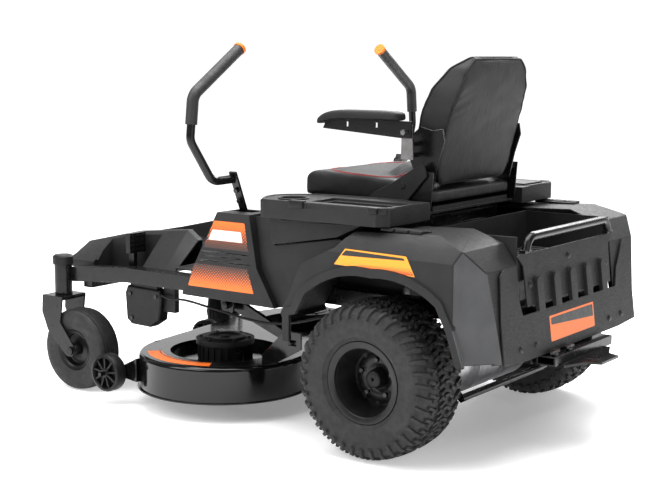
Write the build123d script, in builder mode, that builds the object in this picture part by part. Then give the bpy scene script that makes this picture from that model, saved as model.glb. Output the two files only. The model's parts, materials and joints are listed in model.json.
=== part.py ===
"""Battery zero turn riding mower with a 42 inch side-discharge deck.

Sizes are in millimetres. The model is drawn about the machine's own lines: x = 0 is the
rear axle, +X points forward, y = 0 is the machine's middle, +Y is the operator's left, and
z = 0 is the ground. Each piece is moved to the row's origin when it is written.
"""

from build123d import *
import os
from math import cos, pi, radians, sin, tan

# ---- driving sizes ----

# Rear wheels
rear_tyre_radius = 228.6
rear_tyre_width = 203.0
rear_wheel_y = 467.0
rear_bead_radius = 101.6
rear_flange_radius = 117.5
rear_rim_width = 178.0
hub_cap_radius = 26.0
axle_radius = 14.0

# Front casters
caster_tyre_radius = 139.7
caster_tyre_width = 94.0
caster_bead_radius = 63.5
caster_y = 428.0
swivel_x = 1340.0
caster_trail = 82.0
caster_yaw = {"left": 2.0, "right": -57.5}
stem_radius = 12.7
barrel_radius = 30.0
barrel_bottom = 322.0
barrel_top = 425.0
cap_radius = 35.0
fork_plate = 6.0
fork_gap = 4.0
caster_axle_radius = 8.0

# Frame
rail_width = 50.0
rail_height = 50.0
front_rail_y = 393.0
rear_rail_y = 300.0
rail_top = 437.0
rail_wall = 4.0
rail_drop = 22.0
rail_kink_x = 1050.0
frame_joint_x = 495.0
frame_rear_x = -330.0
seat_post = 30.0
seat_post_x = (60.0, 405.0)
seat_support_top = 650.0

# Foot platform
nose_x = 1440.0
platform_rear_x = 880.0
crest_y = 250.0
tray_y = 225.0
tray_floor = 446.0
platform_wall = 4.0

# Covers and consoles
panel_wall = 4.0
pod_y = 480.0
pod_top = 661.0
console_outer_y = 515.0
console_inner_y = 279.0
console_front_x = 400.0
console_rear_x = -45.0
console_top = 716.0
cup_radius = 39.0
cup_depth = 62.0

# Fenders and rear body
fender_y = 545.0
fender_inner_y = 301.0
fender_top = 655.0
fender_wall = 5.0
flare = 7.0
bed_half_width = 298.0
bed_floor = 520.0
bed_wall = 5.0
mat_thickness = 6.0
bumper_x = -382.0
guard_tube_radius = 12.5
guard_top = 650.0

# Hitch
hitch_end_x = -494.0
hitch_z = 256.0
hitch_thickness = 8.0
hitch_hole_radius = 9.5

# Seat
seat_half_width = 250.0
cushion_bottom = 697.0
cushion_top = 792.0
back_half_width = 223.0
seat_hinge_x = 430.0
seat_hinge_z = 662.0
seat_knuckle_y = (60.0, 100.0)
seat_pin_radius = 5.0
armrest_y = 300.0

# Control levers
lever_x = 546.0
lever_y = 388.0
lever_pivot_z = 500.0
swing_pivot_z = 612.0
lever_lean = 23.0
bar_radius = 13.0
grip_radius = 18.0

# Cutting deck
left_spindle = (745.0, 272.0)
right_spindle = (805.0, -258.0)
deck_radius = 283.0
deck_bottom = 62.0
deck_top = 178.0
deck_wall = 3.0
well_radius = 180.0
well_floor = 150.0
blade_radius = 262.0
blade_z = 88.0
spindle_radius = 10.0
motor_radius = 86.0
motor_height = 68.0
wash_port = (635.0, 332.0)
wash_port_top = 192.0
wash_port_radius = 9.0
wash_port_wall = 4.0
gauge_radius = 62.0
gauge_x = 1032.0
gauge_y = 535.0
gauge_z = 106.0
chute_reach = 150.0
chute_hinge_z = 160.0
chute_pin_radius = 6.0
chute_x = (672.0, 938.0)
discharge_x = (650.0, 960.0)

# Lift linkage and pedal
rockshaft_x = 668.0
rockshaft_z = 345.0
lift_pin_x = 425.0
lift_pin_z = 250.0
lift_pin_radius = 6.0
pedal_pivot_x = 1000.0
pedal_pivot_z = 330.0
pedal_pad_x = 1122.0
pedal_pad_z = 505.0
pedal_y = 310.0

# Fits
running = 0.05
gap = 0.5
bead_slack = 0.3
tyre_fit = 0.2
flange_fit = 0.3

# ---- values worked out from the sizes above ----

side_sign = {"left": 1, "right": -1}
caster_axle_x = swivel_x - caster_trail
fork_inner = caster_tyre_width / 2 + fork_gap
fork_outer = fork_inner + fork_plate
lap_outer_y = 606.0 + grip_radius
chute_hinge_y = right_spindle[1] - deck_radius - 4
chute_outer_y = chute_hinge_y - chute_reach
row_x = (nose_x + hitch_end_x) / 2
row_y = (lap_outer_y + chute_outer_y) / 2


# ---- shared operations ----


def block(x_span, y_span, z_span, mode=Mode.ADD):
    """A box between two limits on each axis."""
    middle = [(low + high) / 2 for low, high in (x_span, y_span, z_span)]
    size = [high - low for low, high in (x_span, y_span, z_span)]
    with Locations(tuple(middle)):
        Box(*size, mode=mode)


def rod(start, end, radius, mode=Mode.ADD):
    """A round bar between two points."""
    line = Vector(end) - Vector(start)
    with BuildSketch(Plane(origin=start, z_dir=line)) as section:
        Circle(radius)
    extrude(section.sketch, amount=line.length, mode=mode)


def side_plate(points, y_low, y_high, mode=Mode.ADD):
    """A plate whose outline lies in the XZ plane, between two values of y."""
    plane = Plane(origin=(0, y_high, 0), x_dir=(1, 0, 0), z_dir=(0, -1, 0))
    with BuildSketch(plane) as outline:
        with BuildLine():
            Polyline(*points, close=True)
        make_face()
    extrude(outline.sketch, amount=y_high - y_low, mode=mode)


def cross_plate(points, x_low, x_high, mode=Mode.ADD):
    """A plate whose outline lies in the YZ plane, between two values of x."""
    with BuildSketch(Plane(origin=(x_low, 0, 0), x_dir=(0, 1, 0), z_dir=(1, 0, 0))) as outline:
        with BuildLine():
            Polyline(*points, close=True)
        make_face()
    extrude(outline.sketch, amount=x_high - x_low, mode=mode)


def flat_plate(points, z_low, z_high, mode=Mode.ADD):
    """A plate whose outline lies in the XY plane, between two values of z."""
    with BuildSketch(Plane.XY.offset(z_low)) as outline:
        with BuildLine():
            Polyline(*points, close=True)
        make_face()
    extrude(outline.sketch, amount=z_high - z_low, mode=mode)


def turned(points, centre_x, centre_z, mode=Mode.ADD):
    """A wheel-like solid from (y, radius) points, turned about an axis along Y."""
    plane = Plane(origin=(centre_x, 0, centre_z), x_dir=(0, 1, 0), z_dir=(1, 0, 0))
    with BuildSketch(plane) as profile:
        with BuildLine():
            Polyline(*points, close=True)
        make_face()
    revolve(profile.sketch, axis=Axis((centre_x, 0, centre_z), (0, 1, 0)), mode=mode)


def both_sides(points):
    """An outline given for +y only, closed by its own mirror image."""
    return points + [(-y, z) for y, z in reversed(points)]


def write(piece, name):
    """Labels a finished piece, moves it to the row's origin and exports it."""
    moved = piece.moved(Location((-row_x, -row_y, 0)))
    moved.label = name
    export_step(moved, f"parts/{name}.step")


os.makedirs("parts", exist_ok=True)

# ---- frame ----


def rail_outline(x):
    """Top of the front rail at x: level behind the kink, falling in front of it."""
    slope = rail_drop / (swivel_x - barrel_radius - rail_kink_x)
    return rail_top - max(0.0, x - rail_kink_x) * slope


rail_end_x = swivel_x - barrel_radius + 6
rail_end_top = rail_outline(rail_end_x)
half_rail = rail_width / 2
barrel_rear_x = swivel_x - barrel_radius - 4
front_tube_x = (1238.0, 1278.0)
front_tube_z = (346.0, 390.0)
shaft_tube_half = 20.0
shaft_tube_z = (rail_top - rail_height + 10, rail_top - 10)
bracket_y = (lever_y + 19, lever_y + 27)

with BuildPart() as main_frame:
    for side in (1, -1):
        y = side * front_rail_y
        side_plate(
            [
                (frame_joint_x - half_rail, rail_top - rail_height),
                (rail_kink_x, rail_top - rail_height),
                (rail_end_x, rail_end_top - rail_height),
                (rail_end_x, rail_end_top),
                (rail_kink_x, rail_top),
                (frame_joint_x - half_rail, rail_top),
            ],
            y - half_rail,
            y + half_rail,
        )
        block(
            (frame_rear_x, frame_joint_x),
            (side * rear_rail_y - half_rail, side * rear_rail_y + half_rail),
            (rail_top - rail_height, rail_top),
        )
        rod(
            (swivel_x, side * caster_y, barrel_bottom),
            (swivel_x, side * caster_y, barrel_top),
            barrel_radius,
        )
        for post_x in seat_post_x:
            post_y = side * (rear_rail_y - 42)
            block(
                (post_x - seat_post / 2, post_x + seat_post / 2),
                (post_y - seat_post / 2, post_y + seat_post / 2),
                (rail_top - rail_height, seat_support_top),
            )
            block(
                (post_x - seat_post / 2, post_x + seat_post / 2),
                sorted((side * (rear_rail_y - 57), side * (rear_rail_y - 20))),
                (rail_top - rail_height, rail_top),
            )
        lug_y = sorted((side * bracket_y[0], side * bracket_y[1]))
        side_plate(
            [
                (lever_x - 45, rail_top - 5),
                (lever_x + 45, rail_top - 5),
                (lever_x + 20, lever_pivot_z + 22),
                (lever_x - 20, lever_pivot_z + 22),
            ],
            *lug_y,
        )
        shaft_lug_y = sorted((side * (front_rail_y - half_rail - 26), side * (front_rail_y - half_rail - 18)))
        side_plate(
            [
                (rockshaft_x - 45, rail_top),
                (rockshaft_x + 45, rail_top),
                (rockshaft_x + 22, rockshaft_z - 22),
                (rockshaft_x - 22, rockshaft_z - 22),
            ],
            *shaft_lug_y,
        )
    for cross_x in (frame_joint_x, frame_rear_x + half_rail):
        reach = front_rail_y + half_rail if cross_x > 0 else rear_rail_y + half_rail
        block(
            (cross_x - half_rail, cross_x + half_rail),
            (-reach, reach),
            (rail_top - rail_height, rail_top),
        )
    block(front_tube_x, (-front_rail_y, front_rail_y), front_tube_z)
    block(
        (rockshaft_x - shaft_tube_half, rockshaft_x + shaft_tube_half),
        (-front_rail_y, front_rail_y),
        shaft_tube_z,
    )
    for post_x in seat_post_x:
        block(
            (post_x - seat_post / 2, post_x + seat_post / 2),
            (-rear_rail_y + 45, rear_rail_y - 45),
            (seat_support_top - seat_post, seat_support_top),
        )
    block((frame_rear_x - 12, frame_rear_x), (-200, 200), (hitch_z + hitch_thickness, rail_top))
    for side in (1, -1):
        ear_y = sorted((side * (seat_knuckle_y[1] + gap), side * (seat_knuckle_y[1] + gap + 10)))
        block((seat_post_x[1], seat_hinge_x), ear_y, (seat_support_top - 20, seat_support_top))
        side_plate(
            [
                (seat_hinge_x - 12, seat_support_top - 20),
                (seat_hinge_x + 10, seat_support_top - 20),
                (seat_hinge_x + 10, seat_hinge_z + 8),
                (seat_hinge_x - 12, seat_hinge_z + 8),
            ],
            *ear_y,
        )
    tube_bore_z = (rail_top - rail_height + rail_wall, rail_top - rail_wall)
    bore_half = half_rail - rail_wall
    for side in (1, -1):
        side_plate(
            [
                (frame_joint_x - bore_half, tube_bore_z[0]),
                (rail_kink_x, tube_bore_z[0]),
                (barrel_rear_x, rail_outline(barrel_rear_x) - rail_height + rail_wall),
                (barrel_rear_x, rail_outline(barrel_rear_x) - rail_wall),
                (rail_kink_x, tube_bore_z[1]),
                (frame_joint_x - bore_half, tube_bore_z[1]),
            ],
            side * front_rail_y - bore_half,
            side * front_rail_y + bore_half,
            mode=Mode.SUBTRACT,
        )
        block(
            (frame_rear_x - 1, frame_joint_x),
            (side * rear_rail_y - bore_half, side * rear_rail_y + bore_half),
            tube_bore_z,
            mode=Mode.SUBTRACT,
        )
    for cross_x, reach in ((frame_joint_x, front_rail_y), (frame_rear_x + half_rail, rear_rail_y)):
        block((cross_x - bore_half, cross_x + bore_half), (-reach, reach), tube_bore_z, mode=Mode.SUBTRACT)
    block(
        (front_tube_x[0] + rail_wall, front_tube_x[1] - rail_wall),
        (-front_rail_y + rail_wall, front_rail_y - rail_wall),
        (front_tube_z[0] + rail_wall, front_tube_z[1] - rail_wall),
        mode=Mode.SUBTRACT,
    )
    block(
        (rockshaft_x - shaft_tube_half + rail_wall, rockshaft_x + shaft_tube_half - rail_wall),
        (-front_rail_y, front_rail_y),
        (shaft_tube_z[0] + rail_wall, shaft_tube_z[1] - rail_wall),
        mode=Mode.SUBTRACT,
    )
    seat_pin_reach = seat_knuckle_y[1] + 20
    rod(
        (seat_hinge_x, -seat_pin_reach, seat_hinge_z),
        (seat_hinge_x, seat_pin_reach, seat_hinge_z),
        seat_pin_radius + running,
        mode=Mode.SUBTRACT,
    )
    for side in (1, -1):
        rod(
            (swivel_x, side * caster_y, barrel_bottom - 1),
            (swivel_x, side * caster_y, barrel_top + 1),
            stem_radius + running,
            mode=Mode.SUBTRACT,
        )
        rod(
            (lever_x, side * (lever_y - 5), lever_pivot_z),
            (lever_x, side * (lever_y + 40), lever_pivot_z),
            10 + running,
            mode=Mode.SUBTRACT,
        )
        rod(
            (rockshaft_x, side * 300, rockshaft_z),
            (rockshaft_x, side * 366, rockshaft_z),
            12 + running,
            mode=Mode.SUBTRACT,
        )
write(main_frame.part, "main_frame")

cap_height = 32
nut_pocket = 15
with BuildPart() as caster_caps:
    for side in (1, -1):
        with Locations((swivel_x, side * caster_y, barrel_top + cap_height / 2)):
            Cylinder(cap_radius, cap_height)
        block(
            (swivel_x - nut_pocket, swivel_x + nut_pocket),
            (side * caster_y - nut_pocket, side * caster_y + nut_pocket),
            (barrel_top, barrel_top + 20),
            mode=Mode.SUBTRACT,
        )
    chamfer(caster_caps.faces().group_by(Axis.Z)[-1].edges(), 6)
write(caster_caps.part, "caster_caps")

# ---- foot platform ----

platform_stations = [
    (nose_x, 228.0, 452.0, 300.0, 425.0),
    (1398.0, 246.0, 480.0, 345.0, 425.0),
    (1153.0, crest_y, 534.0, 362.0, 431.0),
    (926.0, crest_y, 556.0, 362.0, 434.0),
    (platform_rear_x, crest_y, 524.0, 362.0, 434.0),
]
platform_bottom = 402.0


def platform_section(station, inset):
    """Cross-section of the foot platform at one station, drawn inset by a wall."""
    x, crest, crest_z, skirt_y, skirt_z = station
    points = [
        (skirt_y - inset, platform_bottom - inset),
        (skirt_y - inset, skirt_z - inset / 2),
        (crest - inset, crest_z - inset),
    ]
    with BuildSketch(Plane(origin=(x, 0, 0), x_dir=(0, 1, 0), z_dir=(1, 0, 0))) as section:
        with BuildLine():
            Polyline(*both_sides(points), close=True)
        make_face()
    return section.sketch


tray_profile = [
    (1384.0, 640.0),
    (1384.0, 474.0),
    (1262.0, tray_floor),
    (platform_rear_x - 20, tray_floor),
    (platform_rear_x - 20, 640.0),
]
pedal_pocket_x = (1030.0, 1268.0)

floor_rear_x = 448.0
floor_half_width = front_rail_y - half_rail - 8 - gap

with BuildPart() as platform_hollow:
    inner_stations = [
        (min(max(s[0], platform_rear_x - 1), nose_x - platform_wall), *s[1:]) for s in platform_stations
    ]
    for first, second in zip(inner_stations, inner_stations[1:]):
        loft([platform_section(first, platform_wall), platform_section(second, platform_wall)], ruled=True)
    side_plate(
        [(x + (6 if x > 1000 else -6), z - (0 if z > 600 else 5)) for x, z in tray_profile],
        -tray_y - 5,
        tray_y + 5,
        mode=Mode.SUBTRACT,
    )
    block(
        (pedal_pocket_x[0] - 5, pedal_pocket_x[1] + 5),
        (257, 400),
        (380, 640),
        mode=Mode.SUBTRACT,
    )

with BuildPart() as foot_platform:
    for first, second in zip(platform_stations, platform_stations[1:]):
        loft([platform_section(first, 0), platform_section(second, 0)], ruled=True)
    side_plate(tray_profile, -tray_y, tray_y, mode=Mode.SUBTRACT)
    block(
        (floor_rear_x, platform_rear_x + 4),
        (-floor_half_width, floor_half_width),
        (tray_floor - 5, tray_floor),
    )
    block(pedal_pocket_x, (262, 400), (380, 640), mode=Mode.SUBTRACT)
    add(platform_hollow.part, mode=Mode.SUBTRACT)
write(foot_platform.part, "foot_platform")

shroud_y = console_inner_y - gap
shroud_front_x = 446.0
with BuildPart() as seat_shroud:
    block((46, shroud_front_x), (-shroud_y, shroud_y), (rail_top + gap, seat_support_top + 4))
    block(
        (45, shroud_front_x - panel_wall),
        (-shroud_y + panel_wall, shroud_y - panel_wall),
        (rail_top - 1, seat_support_top + 5),
        mode=Mode.SUBTRACT,
    )
write(seat_shroud.part, "seat_shroud")

# ---- side covers: the decal pods and the panels behind them ----

pod_outline = [
    (744.0, 390.0),
    (742.0, 399.0),
    (595.0, pod_top),
    (468.0, pod_top),
    (440.0, 500.0),
    (372.0, 386.0),
]
pod_inside = [
    (738.0, 380.0),
    (736.0, 398.0),
    (592.5, pod_top - panel_wall),
    (472.5, pod_top - panel_wall),
    (445.0, 502.0),
    (379.0, 380.0),
]
panel_outline = [
    (372.0, 386.0),
    (440.0, 500.0),
    (464.0, 657.0),
    (408.0, 657.0),
    (389.0, 573.0),
    (152.0, 612.0),
    (119.0, 603.0),
    (231.0, 547.0),
    (304.0, 392.0),
]
pod_inner_y = front_rail_y - half_rail - 8

with BuildPart() as side_covers:
    for side in (1, -1):
        outer = sorted((side * pod_inner_y, side * pod_y))
        inner = sorted((side * (pod_inner_y + panel_wall), side * (pod_y - panel_wall)))
        panel = sorted((side * (pod_y - 24 - panel_wall), side * (pod_y - 24)))
        side_plate(pod_outline, *outer)
        side_plate(panel_outline, *panel)
        side_plate(pod_inside, *inner, mode=Mode.SUBTRACT)
        rail_slot = sorted((side * (pod_inner_y - 1), side * (front_rail_y + half_rail + 3)))
        block((360, 760), rail_slot, (360, rail_top + 3), mode=Mode.SUBTRACT)
        slot_y = sorted((side * (lever_y - 15), side * (lever_y + 36)))
        block((lever_x - 44, lever_x + 42), slot_y, (pod_top - 10, pod_top + 5), mode=Mode.SUBTRACT)
        block(
            (470, 620),
            sorted((side * 360, side * (lever_y + 60))),
            (rail_top + 2, 560),
            mode=Mode.SUBTRACT,
        )
write(side_covers.part, "side_covers")

# ---- fenders ----

fender_profile = [
    (299.0, 392.0),
    (225.0, 545.0),
    (112.0, 600.0),
    (68.0, 645.0),
    (-205.0, fender_top),
    (-300.0, 622.0),
    (-342.0, 562.0),
    (-374.0, 306.0),
    (-296.0, 312.0),
    (255.0, 312.0),
]


def arch_face(grow):
    """The wheel opening's outline, grown by a margin."""
    with BuildSketch(Plane(origin=(0, 0, 0), x_dir=(1, 0, 0), z_dir=(0, -1, 0))) as opening:
        with BuildLine():
            left_start = (-296.0, 250.0)
            Polyline((262.0, 250.0), (262.0, 391.0), (240.0, 396.0), (205.0, 459.0))
            ThreePointArc((205.0, 459.0), (100.0, 517.0), (-20.0, 527.0))
            ThreePointArc((-20.0, 527.0), (-150.0, 514.0), (-232.0, 470.0))
            Polyline((-232.0, 470.0), (-266.0, 405.0), (-296.0, 315.0), left_start, (262.0, 250.0))
        make_face()
        if grow:
            offset(amount=grow)
    return opening.sketch


def fender_solid(side, inset):
    """The fender's outer shape, or its hollow when it is drawn inset by the wall."""
    top = fender_top - inset
    outer = fender_y - inset
    near = fender_inner_y - (inset * 4 if inset else 0)
    side_plate(
        [
            (x - inset * (1 if x > 0 else -1), z - (inset if z > 320 else 30 if inset else 0))
            for x, z in fender_profile
        ],
        *sorted((side * near, side * outer)),
    )
    section = [
        (near, 260), (outer, 260), (outer, 588), (outer - 24, 628), (outer - 66, top + 2), (near, top + 2)
    ]
    cross_plate([(side * y, z) for y, z in section], -420, 330, mode=Mode.INTERSECT)
    plan = [
        (320, near),
        (320, outer),
        (-282 + inset, outer),
        (-374 + inset, 430 - inset),
        (-374 + inset, near),
    ]
    flat_plate([(x, side * y) for x, y in plan], 240, 700, mode=Mode.INTERSECT)


for side_name, side in side_sign.items():
    with BuildPart() as fender_hollow:
        fender_solid(side, fender_wall)
    with BuildPart() as fender:
        fender_solid(side, 0)
        add(fender_hollow.part, mode=Mode.SUBTRACT)
        flare_face = arch_face(25.0).moved(Location((0, side * (fender_y - 6) + (flare + 6) * (side > 0), 0)))
        extrude(flare_face, amount=flare + 6)
        block((-420, 330), sorted((side * 450, side * 600)), (200, 312), mode=Mode.SUBTRACT)
        block((-330, 330), sorted((side * 290, side * 329)), (200, rail_top + 10), mode=Mode.SUBTRACT)
        cut_face = arch_face(0.0).moved(Location((0, max(side * 440, side * 620), 0)))
        extrude(cut_face, amount=180, mode=Mode.SUBTRACT)
    write(fender.part, f"fender_{side_name}")

# ---- consoles beside the seat ----

cup_x = 330.0
cup_y = 440.0
lid_x = (-30.0, 250.0)

for side_name, side in side_sign.items():
    with BuildPart() as console:
        rim = [
            (console_front_x, console_outer_y - 6),
            (console_front_x + 52, console_inner_y + 130),
            (console_front_x + 20, console_inner_y + 60),
            (console_front_x - 90, console_inner_y),
            (console_rear_x, console_inner_y),
            (console_rear_x, console_outer_y - 30),
            (console_rear_x + 30, console_outer_y),
            (console_front_x - 20, console_outer_y),
        ]
        flat_plate([(x, side * y) for x, y in rim], pod_top + 3, console_top)
        body = [(385, 578), (404, pod_top + 3), (-30, pod_top + 3), (-30, 662), (60, 660), (150, 618)]
        side_plate(body, *sorted((side * (console_inner_y + 70), side * (pod_y - 8))))
        block(
            (lid_x[0] + 20, lid_x[1] - 10),
            sorted((side * (console_inner_y + 80), side * (pod_y - 34))),
            (668, console_top + 1),
            mode=Mode.SUBTRACT,
        )
        rod(
            (cup_x, side * cup_y, console_top - cup_depth),
            (cup_x, side * cup_y, console_top + 1),
            cup_radius,
            mode=Mode.SUBTRACT,
        )
        lid_y = sorted((side * (console_inner_y + 66), side * (pod_y - 14)))
        block((lid_x[0] + 10, lid_x[1] - 2), lid_y, (console_top - 8, console_top + 1), mode=Mode.SUBTRACT)
    write(console.part, f"console_{side_name}")

key_x, knob_x = 262.0, 205.0
with BuildPart() as control_panel:
    side_y = sorted((-(console_inner_y + 67), -(pod_y - 15)))
    block((lid_x[0] + 11, lid_x[1] - 3), side_y, (console_top - 8, console_top + 5))
    for place_x in (key_x - 60, knob_x - 80):
        rod(
            (place_x, -410, console_top - 10),
            (place_x, -410, console_top + 6),
            6 + running,
            mode=Mode.SUBTRACT,
        )
write(control_panel.part, "control_panel")

with BuildPart() as key_switch:
    rod((key_x - 60, -410, console_top - 7), (key_x - 60, -410, console_top + 9), 6)
    rod((key_x - 60, -410, console_top + 6), (key_x - 60, -410, console_top + 12), 12)
    block((key_x - 62, key_x - 58), (-420, -400), (console_top + 12, console_top + 34))
write(key_switch.part, "key_switch")

with BuildPart() as pto_knob:
    rod((knob_x - 80, -410, console_top - 7), (knob_x - 80, -410, console_top + 24), 6)
    rod((knob_x - 80, -410, console_top + 22), (knob_x - 80, -410, console_top + 38), 20)
    chamfer(pto_knob.faces().sort_by(Axis.Z)[-1].edges(), 3)
write(pto_knob.part, "pto_knob")

# ---- rear body ----

bed_front_x = -48.0
bed_rear_x = -338.0
bed_top = 640.0

with BuildPart() as cargo_bed:
    block((bed_rear_x, bed_front_x), (-bed_half_width, bed_half_width), (bed_floor - bed_wall, bed_top))
    block(
        (bed_rear_x + bed_wall, bed_front_x - bed_wall),
        (-bed_half_width + bed_wall, bed_half_width - bed_wall),
        (bed_floor, bed_top + 1),
        mode=Mode.SUBTRACT,
    )
    block((bed_rear_x - 1, bed_rear_x + bed_wall + 1), (-293, 293), (586, bed_top + 1), mode=Mode.SUBTRACT)
write(cargo_bed.part, "cargo_bed")

with BuildPart() as bed_mat:
    mat_y = bed_half_width - bed_wall - 12
    mat_x = (bed_rear_x + bed_wall + 8, bed_front_x - bed_wall - 8)
    block(mat_x, (-mat_y, mat_y), (bed_floor, bed_floor + mat_thickness))
    rib_count = 15
    rib_pitch = 2 * mat_y / rib_count
    for rib in range(rib_count):
        rib_y = -mat_y + (rib + 0.5) * rib_pitch
        block(
            (mat_x[0] + 10, mat_x[1] - 10),
            (rib_y - 6, rib_y + 6),
            (bed_floor + mat_thickness - 1, bed_floor + mat_thickness + 4),
        )
write(bed_mat.part, "bed_mat")

rear_lean = 7.0
rear_bottom_z = 296.0


def rear_plane(forward=0.0):
    """The leaning plane of the machine's rear face; local y runs up it from the bumper's foot."""
    lean_angle = radians(rear_lean)
    return Plane(
        origin=(bumper_x + forward, 0, rear_bottom_z),
        x_dir=(0, 1, 0),
        z_dir=(cos(lean_angle), 0, -sin(lean_angle)),
    )


def rear_panel(points, thickness, forward=0.0):
    """A panel drawn on the rear plane from (y, height) points and thickened forwards."""
    with BuildSketch(rear_plane(forward)) as outline:
        with BuildLine():
            Polyline(*points, close=True)
        make_face()
    extrude(outline.sketch, amount=thickness)


def rear_stud(y, height, radius, depth):
    """A round piece that stands out backwards from the rear plane."""
    with BuildSketch(rear_plane()) as outline:
        with Locations((y, height)):
            Circle(radius)
    extrude(outline.sketch, amount=-depth)


bumper_half = [(300, 2), (430, 10), (428, 125), (412, 250), (386, 268), (322, 186), (303, 129)]
bumper_thickness = 5.0
with BuildPart() as rear_bumper:
    rear_panel(both_sides(bumper_half), bumper_thickness)
write(rear_bumper.part, "rear_bumper")

tailgate_rib_y = [-208.0, -104.0, 0.0, 104.0, 208.0]
tailgate_foot = 148.0
tailgate_thickness = 5.0
rib_half_width = 19.0
rib_depth = 12.0
rib_foot, rib_head = 132.0, 228.0
tailgate_half = [(272, tailgate_foot), (278, 266), (306, 292), (298, 297)]
with BuildPart() as tailgate:
    rear_panel(both_sides(tailgate_half), tailgate_thickness)
    for rib_y in tailgate_rib_y:
        rib_shape = [
            (rib_y - rib_half_width, rib_foot),
            (rib_y + rib_half_width, rib_foot),
            (rib_y + rib_half_width, rib_head - rib_half_width),
            (rib_y - rib_half_width, rib_head - rib_half_width),
        ]
        rear_panel(rib_shape, rib_depth + 1, forward=-rib_depth)
        with BuildSketch(rear_plane(-rib_depth)) as head:
            with Locations((rib_y, rib_head - rib_half_width)):
                Circle(rib_half_width)
        extrude(head.sketch, amount=rib_depth + 1)
write(tailgate.part, "tailgate")

guard_x = -350.0
guard_foot_z = 598.0
guard_foot_y = 267.0
guard_corner = 42.0
with BuildPart() as guard_bar:
    with BuildLine() as guard_path:
        FilletPolyline(
            (guard_x, guard_foot_y, guard_foot_z),
            (guard_x, guard_foot_y - 12, guard_top - guard_tube_radius),
            (guard_x, -guard_foot_y + 12, guard_top - guard_tube_radius),
            (guard_x, -guard_foot_y, guard_foot_z),
            radius=guard_corner,
        )
    with BuildSketch(Plane(origin=guard_path.line @ 0, z_dir=guard_path.line % 0)):
        Circle(guard_tube_radius)
    sweep()
    for side in (1, -1):
        block(
            (guard_x - 10, guard_x + 9),
            sorted((side * 248, side * 288)),
            (guard_foot_z - 3, guard_foot_z + 5),
        )
write(guard_bar.part, "guard_bar")

# ---- hitch ----

hitch_bolt_x = -398.0
hitch_bolt_y = (75.0, 165.0)
hitch_half = [(175, -345.0), (175, -360.0), (130, -378.0), (156, -422.0), (74, -456.0), (57, hitch_end_x)]
with BuildPart() as hitch_plate:
    outline = [(x, y) for y, x in hitch_half]
    flat_plate(outline + [(x, -y) for x, y in reversed(outline)], hitch_z, hitch_z + hitch_thickness)
    rod(
        (-452, 0, hitch_z - 1),
        (-452, 0, hitch_z + hitch_thickness + 1),
        hitch_hole_radius,
        mode=Mode.SUBTRACT,
    )
    block((-412, -350), (-190, 190), (hitch_z + hitch_thickness, hitch_z + hitch_thickness + 28))
    block(
        (-406, -356),
        (-191, 191),
        (hitch_z + hitch_thickness + 5, hitch_z + hitch_thickness + 23),
        mode=Mode.SUBTRACT,
    )
    for bolt_y in hitch_bolt_y:
        rod((hitch_bolt_x, bolt_y, 284), (hitch_bolt_x, bolt_y, 294), 5.2, mode=Mode.SUBTRACT)
write(hitch_plate.part, "hitch_plate")

cross_tube_x, cross_tube_z, cross_tube_radius = -148.0, 146.0, 11.0
with BuildPart() as cross_tube:
    rod((cross_tube_x, -262, cross_tube_z), (cross_tube_x, 262, cross_tube_z), cross_tube_radius)
    for side in (1, -1):
        ears = sorted((side * 248, side * 260))
        side_plate([(-160, 140), (-146, 132), (-103, 170), (-117, 186)], *ears)
write(cross_tube.part, "cross_tube")

# ---- drives, battery and wiring ----

drive_z = rear_tyre_radius
gearbox_y = (152.0, 268.0)
fin_y = (24.0, 150.0)
fin_count = 16
hub_face_y = rear_wheel_y + 2

with BuildPart() as drive_motors:
    for side in (1, -1):
        rod((-48, side * fin_y[0], drive_z), (-48, side * fin_y[1], drive_z), 88)
        rod((-48, side * fin_y[1], drive_z), (-48, side * gearbox_y[1], drive_z), 78)
        rod((-10, side * 200, drive_z), (-10, side * (gearbox_y[1] + 44), drive_z), 58)
        rod((0, side * (gearbox_y[1] + 30), drive_z), (0, side * hub_face_y, drive_z), axle_radius)
        block((-60, 60), sorted((side * 270, side * 320)), (drive_z, rail_top - rail_height - gap))
        pitch = (fin_y[1] - fin_y[0]) / fin_count
        for fin in range(fin_count):
            fin_start = fin_y[0] + (fin + 0.6) * pitch
            rod((-48, side * fin_start, drive_z), (-48, side * (fin_start + 3), drive_z), 100)
write(drive_motors.part, "drive_motors")

with BuildPart() as battery_pack:
    block((80, 385), (-190, 190), (rail_top + gap, 600))
    fillet(battery_pack.edges().filter_by(Axis.Z), 12)
    block((70, 395), (-215, 215), (rail_top + gap - 50, rail_top + gap))
write(battery_pack.part, "battery_pack")

with BuildPart() as motor_controllers:
    for side in (1, -1):
        block((-240, -110), sorted((side * 40, side * 190)), (rail_top - 60, rail_top + 40))
        for fin in range(8):
            fin_y_start = 46 + fin * 18
            block(
                (-236, -114),
                sorted((side * fin_y_start, side * (fin_y_start + 5))),
                (rail_top + 38, rail_top + 58),
            )
write(motor_controllers.part, "motor_controllers")

gearbox_y_span = (362.0, 404.0)
with BuildPart() as pedal_gearbox:
    side_plate(
        [(915, 372), (1060, 376), (1072, 350), (1066, 262), (1046, 246), (960, 244), (918, 270), (908, 340)],
        *gearbox_y_span,
    )
    chamfer(pedal_gearbox.faces().sort_by(Axis.Y)[-1].edges(), 5)
    block((930, 1050), (gearbox_y_span[0] + 6, gearbox_y_span[1] - 6), (370, rail_top - rail_height))
    block((860, 912), (366, 386), (300, rail_top - rail_height))
    rod(
        (pedal_pivot_x, 340, pedal_pivot_z),
        (pedal_pivot_x, gearbox_y_span[1] - 12, pedal_pivot_z),
        10 + running,
        mode=Mode.SUBTRACT,
    )
write(pedal_gearbox.part, "pedal_gearbox")

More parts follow.
